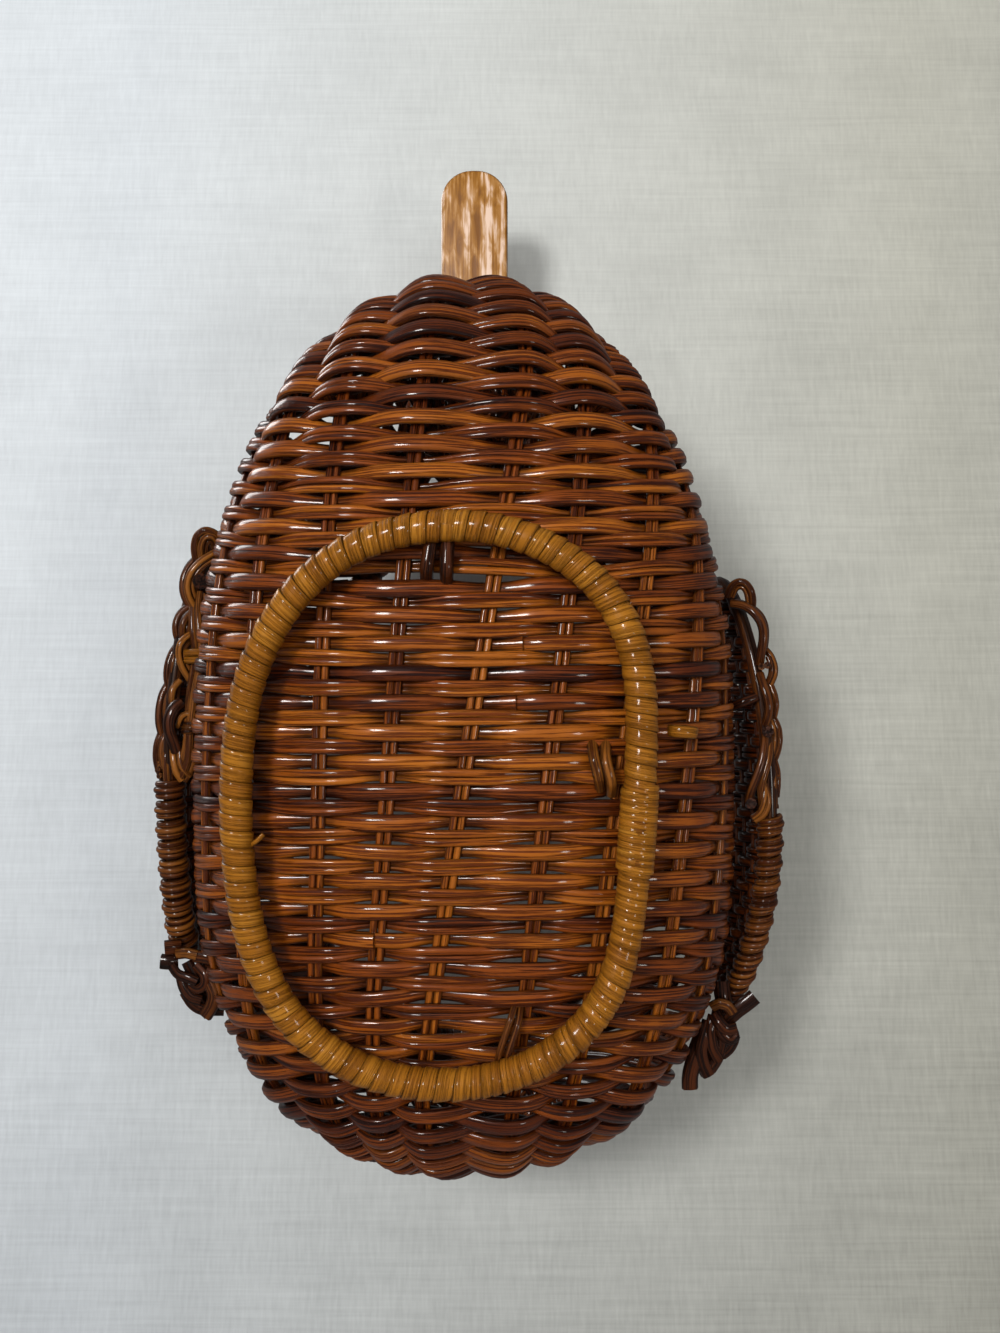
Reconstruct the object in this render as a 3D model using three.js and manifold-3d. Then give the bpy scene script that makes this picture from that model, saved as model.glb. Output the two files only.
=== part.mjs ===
// Duck-shaped cane basket: a woven bowl on a wrapped foot hoop, with neck, head, bill, tail and wings.
// Millimetres, +Z up. The bill points along -Y. The datum is the middle of the foot hoop, on the floor,
// until the last lines put the origin under the middle of the whole basket.
import * as THREE from 'three';
import { mergeVertices } from 'three/addons/utils/BufferGeometryUtils.js';
import Module from 'manifold-3d';

const wasm = await Module();
wasm.setup();

// Driving dimensions
const clearance = 0.3; // between pieces that touch on the real basket
const bodyWidth = 129; // across the widest row of the bowl
const breastReach = 125.5; // from the foot's middle to the front of the breast
const tailReach = 98.6; // from the foot's middle to the back of the bowl
const bellyZ = 4; // underside of the weave at its lowest
const crownZ = 84; // height where the bowl's sides would meet if it were closed
const wall = 3; // thickness of the woven wall
const humpDepth = 1.4; // of the hollows where canes pass behind a stake
const humpRows = 42; // rows of humps from neck to tail, each standing for a thick cane and a thin pair
const openingFrom = 2; // first row station of the opening
const openingTo = 13; // last row station of the opening
const openingHalfAngle = 65; // degrees from the crown to the rim, at mid length
const neckWidth = 28; // across the top of the neck
const neckSetback = 19.5; // of the neck's top from the front of the breast
const neckRise = 7; // of the neck's top over the crown
const tailOverhang = 5.4; // of the tail's top past the back of the bowl
const tailRise = 9; // of the tail's top over the crown
const tailTipWidth = 12;
const tailTuftLength = 9;
const stakeCount = 13; // pairs of stakes from keel to both rims
const stakeSpacing = 16.2; // along a row, at the widest row
const stakeOffset = 2; // of the middle pair from the keel line
const stakeLean = 0.08; // sideways for each millimetre towards the tail
const middleStakeLean = 0.14; // of the middle pair, which leans more than the rest
const stakeUprightY = -8; // place along the basket where a leaning stake crosses its own line
const stakeWidth = 2.8; // two rods side by side
const stakeThickness = 1.4;
const stakeRoom = 1.2; // from the curved wall to the flat of a stake pair
const rimHoopDiameter = 4.6;
const headWidth = 49;
const headLength = 54;
const headHeight = 48;
const headForward = 8; // of the head's middle from the neck's top
const headRise = 16; // of the head's middle over the neck's top
const billReach = 36; // from the front of the head to the bill's tip
const billDrop = 5; // of the bill below the head's middle
const billLength = 46; // with the part that sits in the head
const billWidth = 20;
const billThickness = 4;
const billCorner = 7.7; // radius of the tip's corners
const billBevel = 0.8;
const eyeDiameter = 6.4;
const eyeHeight = 2.6;
const footLength = 111.4; // along the middle of the hoop's cane
const footWidth = 80.2;
const footShift = -3.5; // the hoop is tied on a little to one side
const footCore = 3.8; // cane inside the wrapping
const footWrapThickness = 0.9;
const footWrapWidth = 3.5; // cane strip
const footFlat = 0.5; // depth of the flat that it stands on
const footWraps = 3; // lengths of strip that cover the hoop
const wrapLoops = 24; // turns in one length of strip
const tieWidth = 3.2;
const tieThickness = 1.5;
const wingLength = 105;
const wingFrontY = -55.5; // front of the wing, at the mean of both wings
const wingStagger = 6; // the left wing is this far ahead of the mean, the right one behind it
const wingLowZ = 40; // lowest part of the wing's hoop
const wingHighZ = 78;
const wingStandOff = 5.8; // from the side of the bowl to the wing's hoop
const wingShift = 1.3; // of both wings to the right, as they are tied on
const wingBow = 7; // of the wing's front end towards the bowl
const wingTipDrop = 8; // of the wing's tip below its front
const wingHoopDiameter = 3.4;
const wingPanelThickness = 3;
const wingWrapThickness = 1.1;
const wingWrapWidth = 2.3;
const wingLoops = 15;
const wingBraidDiameter = 3.4;
const wingTuftLength = 18;
const wingTieDiameter = 2.4;

// Places that follow from the sizes
const neckY = neckSetback - breastReach;
const neckZ = crownZ + neckRise;
const tailTipY = tailReach + tailOverhang;
const tailTipZ = crownZ + tailRise;
const headY = neckY - headForward;
const headZ = neckZ + headRise;
const billTipY = headY - headLength / 2 - billReach;
const billZ = headZ - billDrop;
const wingReach = bodyWidth / 2 + wingStandOff;

const degrees = Math.PI / 180;
const vec = (x, y, z) => new THREE.Vector3(x, y, z);

// Materials: colour, roughness and metalness
const finish = {
  brownCane: [0x6a3216, 0.35, 0],
  darkCane: [0x4a2412, 0.4, 0],
  honeyCane: [0xb8823a, 0.35, 0],
  billWood: [0xc28a4a, 0.4, 0],
  blackBead: [0x121010, 0.15, 0],
};

const basket = new THREE.Group();

// Enclosed volume of a triangle list, negative when its faces point inwards
function signedVolume(positions, indices) {
  const pointAt = (index) => vec(...positions.slice(3 * index, 3 * index + 3));
  let sum = 0;
  for (let i = 0; i < indices.length; i += 3) {
    const [a, b, c] = indices.slice(i, i + 3).map(pointAt);
    sum += a.dot(b.cross(c)) / 6;
  }
  return sum;
}

function geometryOf(positions, indices) {
  const faces = indices.slice();
  if (signedVolume(positions, faces) < 0) {
    faces.reverse();
  }
  const geometry = new THREE.BufferGeometry();
  geometry.setAttribute('position', new THREE.Float32BufferAttribute(positions, 3));
  geometry.setIndex(faces);
  return geometry;
}

function addPiece(name, geometry, [color, roughness, metalness]) {
  geometry.computeVertexNormals();
  const mesh = new THREE.Mesh(geometry, new THREE.MeshStandardMaterial({ color, roughness, metalness }));
  mesh.name = name;
  basket.add(mesh);
  return mesh;
}

// A closed mesh as a solid that can be cut
function solidOf(geometry) {
  const bare = geometry.clone();
  bare.deleteAttribute('normal');
  bare.deleteAttribute('uv');
  const merged = mergeVertices(bare, 1e-4);
  return new wasm.Manifold(
    new wasm.Mesh({
      numProp: 3,
      vertProperties: new Float32Array(merged.attributes.position.array),
      triVerts: new Uint32Array(merged.index.array),
    }),
  );
}

function geometryFrom(solid) {
  const mesh = solid.getMesh();
  return geometryOf(Array.from(mesh.vertProperties), Array.from(mesh.triVerts));
}

// Skins a list of loops that all have the same number of points. Ends are joined to each other,
// closed with a face, or closed with a strip between the first and second half of the loop.
function skin(loops, ends) {
  const count = loops[0].length;
  const positions = loops.flat().flatMap((p) => [p.x, p.y, p.z]);
  const indices = [];
  const quad = (a, b, c, d) => indices.push(a, b, c, a, c, d);
  const spans = ends === 'ring' ? loops.length : loops.length - 1;
  for (let i = 0; i < spans; i++) {
    const next = (i + 1) % loops.length;
    for (let j = 0; j < count; j++) {
      const k = (j + 1) % count;
      quad(i * count + j, i * count + k, next * count + k, next * count + j);
    }
  }
  const last = (loops.length - 1) * count;
  if (ends === 'faces') {
    for (let j = 1; j < count - 1; j++) {
      indices.push(0, j + 1, j);
      indices.push(last, last + j, last + j + 1);
    }
  }
  if (ends === 'strips') {
    for (let j = 0; j < count / 2 - 1; j++) {
      const k = count - 1 - j;
      quad(j, k, k - 1, j + 1);
      quad(last + j, last + j + 1, last + k - 1, last + k);
    }
  }
  return geometryOf(positions, indices);
}

// Sweeps a flat section, given as [aside, up] points, along a path. upAt gives each step's up direction.
function sweep(path, section, upAt, closed = false) {
  const n = path.length;
  const loops = path.map((p, i) => {
    const before = closed ? path[(i + n - 1) % n] : path[Math.max(0, i - 1)];
    const after = closed ? path[(i + 1) % n] : path[Math.min(n - 1, i + 1)];
    const tangent = after.clone().sub(before).normalize();
    const aside = tangent.clone().cross(upAt(i)).normalize();
    const up = aside.clone().cross(tangent).normalize();
    const outline = typeof section === 'function' ? section(i / (n - 1)) : section;
    return outline.map(([a, b]) => p.clone().addScaledVector(aside, a).addScaledVector(up, b));
  });
  return skin(loops, closed ? 'ring' : 'faces');
}

function roundSection(diameter, sides) {
  return Array.from({ length: sides }, (_, i) => {
    const angle = (2 * Math.PI * (i + 0.5)) / sides;
    return [(Math.cos(angle) * diameter) / 2, (Math.sin(angle) * diameter) / 2];
  });
}

function flatSection(width, thickness) {
  const [w, t] = [width / 2, thickness / 2];
  return [[-w, -t], [w, -t], [w, t], [-w, t]];
}

// Two rods side by side, as one outline
function pairSection(width, thickness) {
  const [w, t] = [width / 2, thickness / 2];
  return [[-w, 0], [-w / 2, -t], [w / 2, -t], [w, 0], [w / 2, t], [-w / 2, t]];
}

// Hull of the weave. Each row station holds the keel, middle and crown points in the middle plane, as
// [y, z], then the half width and the fullness of the section: 2 is an ellipse, more is squarer.
const ahead = (share) => -breastReach * share;
const behind = (share) => tailReach * share;
const lift = (share) => bellyZ + (crownZ - bellyZ) * share;
const half = (share) => (bodyWidth / 2) * share;
const mix = (a, b, t) => a + (b - a) * t;
const neckTilt = 18 * degrees;
const tailTilt = 45 * degrees;
const tiltedRing = (y, z, radius, tilt) => {
  const [dy, dz] = [radius * Math.cos(tilt), radius * Math.sin(tilt)];
  return [y - dy, z - dz, y, z, y + dy, z + dz, radius, 2];
};
const neckBase = [
  ...[ahead(0.967), lift(0.775), ahead(0.772), lift(0.83), ahead(0.561), lift(0.8875)],
  ...[half(0.39), 2],
];
const neckTop = tiltedRing(neckY, neckZ, neckWidth / 2, neckTilt);
const neckMiddle = neckTop.map((value, i) => mix(value, neckBase[i], 0.42));
neckMiddle[6] = mix(neckWidth / 2, neckBase[6], 0.24); // keeps the neck's sides hollow
const stations = [
  neckTop,
  neckMiddle,
  neckBase,
  [ahead(1), lift(0.6), ahead(0.667), lift(0.7), ahead(0.407), lift(0.9), half(0.63), 2],
  [ahead(0.927), lift(0.365), ahead(0.528), lift(0.6125), ahead(0.293), lift(0.93), half(0.8), 2.1],
  [ahead(0.764), lift(0.18), ahead(0.374), lift(0.55), ahead(0.195), lift(0.965), half(0.92), 2.25],
  [ahead(0.537), lift(0.0675), ahead(0.211), lift(0.525), ahead(0.081), lift(1), half(0.985), 2.45],
  [ahead(0.26), lift(0.0125), ahead(0.04), lift(0.52), behind(0.041), lift(1), half(1), 2.6],
  [behind(0.05), lift(0), behind(0.155), lift(0.525), behind(0.206), lift(1), half(1), 2.6],
  [behind(0.412), lift(0.02), behind(0.371), lift(0.5375), behind(0.361), lift(1), half(0.975), 2.5],
  [behind(0.69), lift(0.104), behind(0.557), lift(0.57), behind(0.495), lift(1.01), half(0.88), 2.3],
  [behind(0.866), lift(0.265), behind(0.711), lift(0.625), behind(0.619), lift(1.025), half(0.735), 2.1],
  [behind(0.959), lift(0.48), behind(0.825), lift(0.7125), behind(0.732), lift(1.04), half(0.525), 2],
  [behind(1), lift(0.7), behind(0.907), lift(0.825), behind(0.825), lift(1.06), half(0.29), 2],
  [behind(1.03), lift(0.88), behind(0.979), lift(0.96), behind(0.928), lift(1.08), half(0.155), 2],
  tiltedRing(tailTipY, tailTipZ, tailTipWidth / 2, Math.PI - tailTilt),
];
const lastStation = stations.length - 1;

function station(x) {
  const i = Math.min(Math.max(Math.floor(x), 0), lastStation - 1);
  const t = x - i;
  const [a, b, c, d] = [i - 1, i, i + 1, i + 2].map((k) => stations[Math.min(Math.max(k, 0), lastStation)]);
  return b.map((_, k) => {
    const curve = 2 * a[k] - 5 * b[k] + 4 * c[k] - d[k];
    const twist = 3 * b[k] - a[k] - 3 * c[k] + d[k];
    return 0.5 * (2 * b[k] + (c[k] - a[k]) * t + curve * t * t + twist * t * t * t);
  });
}

// Point on the hull's outer face. angle is 0 at the keel and 180 degrees at the crown.
function hullPoint(x, angle) {
  const [keelY, keelZ, midY, midZ, topY, topZ, halfWidth, fullness] = station(x);
  const down = Math.cos(angle) >= 0;
  const [dy, dz] = down ? [keelY - midY, keelZ - midZ] : [topY - midY, topZ - midZ];
  const depth = Math.hypot(dy, dz);
  const [c, s] = [Math.abs(Math.cos(angle)), Math.sin(angle)];
  const radius = ((c / depth) ** fullness + (Math.abs(s) / halfWidth) ** fullness) ** (-1 / fullness);
  return vec(radius * s, midY + (dy / depth) * radius * c, midZ + (dz / depth) * radius * c);
}

function hullNormal(x, angle) {
  const step = 0.02;
  const along = hullPoint(x + step, angle).sub(hullPoint(x - step, angle));
  const around = hullPoint(x, angle + step).sub(hullPoint(x, angle - step));
  return along.cross(around).normalize();
}

const insideHull = (x, angle, depth) => hullPoint(x, angle).addScaledVector(hullNormal(x, angle), -depth);

// Angle at a share of the arc from the keel to a limit angle
function angleAtArc(x, share, limit) {
  const steps = 36;
  const lengths = [0];
  let previous = hullPoint(x, 0);
  for (let i = 1; i <= steps; i++) {
    const point = hullPoint(x, (limit * i) / steps);
    lengths.push(lengths[i - 1] + point.distanceTo(previous));
    previous = point;
  }
  const wanted = Math.abs(share) * lengths[steps];
  const i = Math.max(1, lengths.findIndex((value) => value >= wanted));
  const t = (wanted - lengths[i - 1]) / (lengths[i] - lengths[i - 1]);
  return (Math.sign(share) * limit * (i - 1 + t)) / steps;
}

// Opening: its edge as a closed curve over the stations
const openingMiddle = (openingFrom + openingTo) / 2;
const openingHalf = (openingTo - openingFrom) / 2;
const openingStation = (turn) => openingMiddle - openingHalf * Math.cos(turn);
const openingAngle = (turn) => Math.PI - openingHalfAngle * degrees * Math.abs(Math.sin(turn)) ** 0.8;

// Stakes lean in with the rim and run close to the crown line in the neck and tail
function stakeLimit(x) {
  const away = Math.min(Math.abs(x - openingMiddle) / openingHalf, 1.02);
  return (108 + 54 * away ** 3) * degrees;
}

// Woven bowl, from under the neck to the tail
const bowlFromTurn = 8 * degrees;
const bowlFrom = openingStation(bowlFromTurn);
const bowlTo = openingStation(Math.PI - bowlFromTurn);
const seam = 0.035; // stations between the ends of two woven pieces

// One row of the bowl. It stands proud over every other stake and lies back at the stakes between.
function bowlLoop(row) {
  const turn = mix(bowlFromTurn, Math.PI - bowlFromTurn, row / humpRows);
  const x = openingStation(turn);
  const limit = openingAngle(turn);
  const stakes = Array.from({ length: stakeCount }, (_, k) => stakeAngle(k, x));
  const inEnds = row > 0 && row < humpRows;
  const outer = stakes.map((angle, k) => insideHull(x, angle, inEnds && (k + row) % 2 ? humpDepth : 0));
  const inner = stakes.map((angle) => insideHull(x, angle, wall));
  const edge = (side, depth) => insideHull(x, side * limit, depth);
  return [edge(-1, 0), ...outer, edge(1, 0), edge(1, wall), ...inner.reverse(), edge(-1, wall)];
}

function makeBowl() {
  const loops = Array.from({ length: humpRows + 1 }, (_, row) => bowlLoop(row));
  addPiece('body_weave', skin(loops, 'strips'), finish.brownCane);
}

// Distance along a way to a woven piece, at its nearest within a round of the given width
function roomBefore(name, from, way, width) {
  const across = way.clone().cross(vec(1, 0.1, 0)).normalize();
  const other = way.clone().cross(across);
  const target = basket.getObjectByName(name);
  const radius = width / 2;
  const rays = [[0, 0], [1, 0], [-1, 0], [0, 1], [0, -1]].map(([a, b]) => {
    const start = from.clone().addScaledVector(across, a * radius).addScaledVector(other, b * radius);
    return new THREE.Raycaster(start, way).intersectObject(target).map((hit) => hit.distance);
  });
  return Math.min(...rays.flat());
}

// Ring of points round the closed hull, at a depth inside its outer face
function hullRing(x, depth, sides) {
  return Array.from({ length: sides }, (_, i) => insideHull(x, (2 * Math.PI * (i + 0.5)) / sides, depth));
}

function wovenTube(name, from, to, rows, sides) {
  const places = Array.from({ length: rows + 1 }, (_, i) => mix(from, to, i / rows));
  const outer = places.map((x) => hullRing(x, 0, sides));
  const inner = places.map((x) => hullRing(x, wall, sides));
  addPiece(name, skin([...outer, ...inner.reverse()], 'ring'), finish.brownCane);
}

// Bound stake ends that stand out of the tail
function makeTailTip() {
  const direction = vec(0, Math.cos(tailTilt), Math.sin(tailTilt));
  const base = vec(0, tailTipY, tailTipZ).addScaledVector(direction, clearance);
  const path = [0, 0.35, 0.7, 1].map((t) => base.clone().addScaledVector(direction, t * tailTuftLength));
  const bundle = tailTipWidth * 0.8;
  const sizes = [1, 0.8, 0.95, 0.7];
  const outline = (t) => roundSection(bundle * sizes[Math.round(t * 3)], 8);
  addPiece('tail_tip', sweep(path, outline, () => vec(1, 0, 0)), finish.darkCane);
}

// Pairs of stakes along the inside of the weave, from the neck to the tail. Under the belly they lean
// sideways, and in the neck and tail they stand straight.
function stakeShare(index, x) {
  const place = index - (stakeCount - 1) / 2;
  const arc = ((stakeCount + 1) / 2) * stakeSpacing - stakeSpacing / 3;
  const lean = place === 0 ? middleStakeLean : stakeLean;
  const keelY = Math.min(Math.max(station(x)[0], -0.75 * breastReach), 0.65 * tailReach);
  const fade = (stations) => Math.min(1, Math.max(0, stations / 2));
  const straighten = fade(x - 2) * fade(lastStation - 2 - x);
  return (place * stakeSpacing + stakeOffset - lean * (keelY - stakeUprightY) * straighten) / arc;
}

const stakeAngle = (index, x) => angleAtArc(x, stakeShare(index, x), stakeLimit(x));

function makeStakes() {
  const steps = 18;
  const [from, to] = [0.05, lastStation - 1.6];
  const early = 0.55; // steps are closer together in the neck's bend
  const places = Array.from({ length: steps + 1 }, (_, i) => {
    const t = i / steps;
    return mix(from, to, (1 - early) * t + early * t * t);
  });
  const depth = wall + stakeRoom + stakeThickness / 2;
  const section = pairSection(stakeWidth, stakeThickness);
  for (let k = 0; k < stakeCount; k++) {
    const angles = places.map((x) => stakeAngle(k, x));
    const path = places.map((x, i) => insideHull(x, angles[i], depth));
    const geometry = sweep(path, section, (i) => hullNormal(places[i], angles[i]));
    addPiece(`stake_pair_${String(k + 1).padStart(2, '0')}`, geometry, finish.brownCane);
  }
}

// Hoop that finishes the opening, seated on the edge of the weave
function makeRimHoop() {
  const steps = 52;
  const sideOf = (turn) => Math.sign(Math.sin(turn) || 1);
  const edge = (turn) => {
    return insideHull(openingStation(turn), sideOf(turn) * openingAngle(turn), wall / 2);
  };
  const seat = rimHoopDiameter / 2 + clearance;
  const path = [];
  for (let i = 0; i < steps; i++) {
    const turn = (2 * Math.PI * (i + 0.5)) / steps;
    const tangent = edge(turn + 0.01).sub(edge(turn - 0.01)).normalize();
    const normal = hullNormal(openingStation(turn), sideOf(turn) * openingAngle(turn));
    const inwards = tangent.cross(normal).normalize();
    path.push(edge(turn).addScaledVector(inwards, -seat));
  }
  const hoop = sweep(path, roundSection(rimHoopDiameter, 6), () => vec(0, 0, 1), true);
  addPiece('rim_hoop', hoop, finish.darkCane);
}

// Head: a woven shell round the top of the neck, with a slot for the bill
function ellipsoid(width, length, height, depth = 0) {
  const [columns, rows] = [18, 12];
  const geometry = new THREE.SphereGeometry(0.5, columns, rows);
  const points = geometry.attributes.position;
  for (let row = 1; row < rows; row++) {
    for (let column = row % 2; column <= columns; column += 2) {
      const index = row * (columns + 1) + column;
      const place = new THREE.Vector3().fromBufferAttribute(points, index);
      points.setXYZ(index, ...place.multiplyScalar(1 - (2 * depth) / height));
    }
  }
  geometry.rotateX(Math.PI / 2);
  geometry.scale(width, length, height);
  geometry.translate(0, headY, headZ);
  return geometry;
}

function makeHead() {
  const outer = solidOf(ellipsoid(headWidth, headLength, headHeight, humpDepth));
  const inner = solidOf(ellipsoid(headWidth - 2 * wall, headLength - 2 * wall, headHeight - 2 * wall));
  const rings = [-0.45, 0, 0.5, 1, 1.5].map((x) => hullRing(x, -clearance, 20));
  const neckSpace = solidOf(skin(rings, 'faces'));
  const slot = new THREE.BoxGeometry(billWidth + 2 * clearance, billLength, billThickness + 2 * clearance);
  slot.translate(0, billTipY + billLength / 2, billZ);
  const shell = outer.subtract(inner).subtract(neckSpace).subtract(solidOf(slot));
  addPiece('head_weave', geometryFrom(shell), finish.brownCane);
}

function makeBill() {
  const side = billWidth / 2 - billBevel;
  const corner = billCorner - billBevel;
  const length = billLength - 2 * billBevel;
  const outline = new THREE.Shape();
  outline.moveTo(-side, length);
  outline.lineTo(-side, corner);
  outline.absarc(corner - side, corner, corner, Math.PI, 1.5 * Math.PI, false);
  outline.absarc(side - corner, corner, corner, 1.5 * Math.PI, 2 * Math.PI, false);
  outline.lineTo(side, length);
  outline.closePath();
  const geometry = new THREE.ExtrudeGeometry(outline, {
    depth: billThickness - 2 * billBevel,
    bevelSize: billBevel,
    bevelThickness: billBevel,
    bevelSegments: 1,
    curveSegments: 6,
  });
  geometry.translate(0, billTipY + billBevel, billZ - billThickness / 2 + billBevel);
  addPiece('bill', geometryFrom(solidOf(geometry)), finish.billWood);
}

function makeEyes() {
  for (const [name, side] of [['eye_left', -1], ['eye_right', 1]]) {
    const radius = eyeDiameter / 2;
    const profile = [[0, 0], [radius * 0.85, 0], [radius, eyeHeight * 0.25], [radius * 0.8, eyeHeight * 0.7]];
    const points = [...profile, [radius * 0.4, eyeHeight * 0.95], [0, eyeHeight]];
    const geometry = new THREE.LatheGeometry(points.map(([x, y]) => new THREE.Vector2(x, y)), 12);
    const aim = vec(side * 0.8, -0.5, 0.36).normalize();
    const size = vec(headWidth / 2, headLength / 2, headHeight / 2);
    const surface = aim.clone().multiply(size);
    const normal = aim.clone().divide(size).normalize();
    geometry.applyQuaternion(new THREE.Quaternion().setFromUnitVectors(vec(0, 1, 0), normal));
    const above = surface.add(vec(0, headY, headZ)).addScaledVector(normal, eyeHeight);
    const room = roomBefore('head_weave', above, normal.clone().negate(), eyeDiameter * 0.85) - clearance;
    const seat = above.addScaledVector(normal, -room);
    geometry.translate(seat.x, seat.y, seat.z);
    addPiece(name, geometryFrom(solidOf(geometry)), finish.blackBead);
  }
}

// Winds a cane strip round a stretch of a hoop and prints its least gap to itself
function windStrip(name, hoopAt, from, to, loops, inner, width, thickness, look, flat) {
  const perLoop = 8;
  const steps = loops * perLoop;
  const middle = inner / Math.cos(Math.PI / perLoop) + thickness / 2;
  const [path, ups] = [[], []];
  for (let i = 0; i <= steps; i++) {
    const { point, aside, up } = hoopAt(mix(from, to, i / steps));
    const angle = (-2 * Math.PI * i) / perLoop;
    const radial = up.clone().multiplyScalar(Math.cos(angle)).addScaledVector(aside, Math.sin(angle));
    path.push(point.clone().addScaledVector(radial, middle));
    ups.push(radial);
  }
  const section = flatSection(width, thickness).reverse(); // splits the faces so that the strip bulges
  let geometry = sweep(path, section, (i) => ups[i]);
  const corners = geometry.attributes.position;
  const corner = (step, k) => new THREE.Vector3().fromBufferAttribute(corners, 4 * step + k);
  let least = Infinity;
  for (let i = 0; i <= steps - perLoop; i++) {
    for (const [k, m] of [[0, 1], [1, 0], [2, 3], [3, 2]]) {
      least = Math.min(least, corner(i, k).distanceTo(corner(i + perLoop, m)));
    }
  }
  console.log(`${name}: ${loops} loops, least gap to itself ${least.toFixed(2)} mm`);
  if (flat) {
    const slab = new THREE.BoxGeometry(2 * bodyWidth, 2 * breastReach, 2 * footWrapThickness);
    slab.translate(0, 0, -footWrapThickness);
    geometry = geometryFrom(solidOf(geometry).subtract(solidOf(slab)));
  }
  addPiece(name, geometry, look);
}

// Foot hoop: an oval of cane, fuller on its right side, wrapped in strip
const footWrapInner = footCore / 2 + clearance;
const footOuter = footWrapInner / Math.cos(Math.PI / 8) + footWrapThickness;
const footZ = footOuter - footFlat;

function footPoint(turn) {
  const [s, c] = [Math.sin(turn), Math.cos(turn)];
  const fullness = s > 0 ? 3 : 2.4;
  const sum = Math.abs((2 * c) / footLength) ** fullness + Math.abs((2 * s) / footWidth) ** fullness;
  const radius = sum ** (-1 / fullness);
  return vec(footShift + radius * s, -radius * c, footZ);
}

const footSteps = 240;
const footCurve = new THREE.CatmullRomCurve3(
  Array.from({ length: footSteps }, (_, i) => footPoint((2 * Math.PI * i) / footSteps)),
  true,
);
footCurve.arcLengthDivisions = footSteps * 2;

function footAt(share) {
  const t = ((share % 1) + 1) % 1;
  const tangent = footCurve.getTangentAt(t);
  const up = vec(0, 0, -1);
  return { point: footCurve.getPointAt(t), up, aside: tangent.clone().cross(up).normalize() };
}

function makeFoot() {
  const steps = 56;
  const path = Array.from({ length: steps }, (_, i) => footAt(i / steps).point);
  addPiece('foot_hoop', sweep(path, roundSection(footCore, 6), () => vec(0, 0, 1), true), finish.honeyCane);
  const end = (footWrapWidth + 1) / (2 * footCurve.getLength());
  ['front', 'right', 'left'].slice(0, footWraps).forEach((side, i) => {
    const from = (i - 0.5) / footWraps + end;
    const to = (i + 0.5) / footWraps - end;
    const name = `foot_wrap_${side}`;
    const sizes = [footWrapInner, footWrapWidth, footWrapThickness];
    windStrip(name, footAt, from, to, wrapLoops, ...sizes, finish.honeyCane, true);
  });
}

// Cane loops that tie the foot hoop to the belly, seen beside its inner edge
function makeFootTies() {
  const reach = footOuter + clearance + tieThickness / 2;
  const places = [['foot_tie_front', 0.015], ['foot_tie_right', 0.22], ['foot_tie_rear', 0.465]];
  for (const [name, share] of places) {
    const { point, aside } = footAt(share);
    const inwards = aside.clone();
    if (aside.dot(vec(footShift, 0, 0).sub(point)) < 0) {
      inwards.negate();
    }
    const foot = (angle) => point.clone()
      .addScaledVector(inwards, reach * Math.cos(angle))
      .add(vec(0, 0, reach * Math.sin(angle)));
    const low = [-25, 0, 25].map((angle) => foot(angle * degrees));
    const top = low[2].clone().addScaledVector(inwards, tieThickness);
    top.z = 0;
    top.z = roomBefore('body_weave', top, vec(0, 0, 1), tieWidth) - clearance;
    const along = inwards.clone().cross(vec(0, 0, 1));
    const tie = sweep([...low, top], flatSection(tieThickness, tieWidth), () => along);
    addPiece(name, tie, finish.darkCane);
  }
}

// Wings: a leaf-shaped hoop that leans with the bowl, filled with weave
const wingMiddleZ = (wingLowZ + wingHighZ) / 2;
const wingHalfHeight = (wingHighZ - wingLowZ) / 2;

// Place on the wing's curved plane, for a share of its length and a height
function onWing(side, share, z) {
  const y = wingFrontY + side * wingStagger + wingLength * share;
  const widest = 0.6; // share of the length where the wing stands out most
  const bow = wingBow * (share / widest - 1) ** 2;
  const lean = 0.1 * (z - wingMiddleZ);
  return vec(side * (wingReach - bow - lean) + wingShift, y, z);
}

// Outline of the wing: turn 0 is the front, a quarter is the low edge, half is the tip
function wingOutline(side, turn) {
  const [c, s] = [Math.cos(turn), Math.sin(turn)];
  const share = 0.5 - 0.5 * c;
  const taper = Math.sqrt(Math.max(0.04, 1 - 0.72 * share)) * 1.1;
  const height = wingHalfHeight * taper;
  const drop = wingTipDrop * share * share;
  return onWing(side, share, wingMiddleZ - drop - height * Math.sign(s) * Math.abs(s) ** 0.85);
}

const wingOut = (side) => vec(side, 0, 0.1);
const wingWrapInner = wingHoopDiameter / 2 + clearance;
const wingWrapOuter = wingWrapInner / Math.cos(Math.PI / 8) + wingWrapThickness;

function wingCurve(side) {
  const steps = 160;
  const points = Array.from({ length: steps }, (_, i) => wingOutline(side, (2 * Math.PI * i) / steps));
  const curve = new THREE.CatmullRomCurve3(points, true);
  curve.arcLengthDivisions = 2 * steps;
  return curve;
}
const wingCurves = { '-1': wingCurve(-1), 1: wingCurve(1) };

// Frame on the wing's hoop at a share of its length. aside points away from the wing's middle.
function wingHoopAt(side, share) {
  const t = ((share % 1) + 1) % 1;
  const point = wingCurves[side].getPointAt(t);
  const tangent = wingCurves[side].getTangentAt(t);
  const aside = tangent.clone().cross(wingOut(side)).normalize();
  if (aside.dot(point.clone().sub(onWing(side, 0.45, wingMiddleZ))) < 0) {
    aside.negate();
  }
  return { point, aside, up: aside.clone().cross(tangent).normalize() };
}

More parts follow.
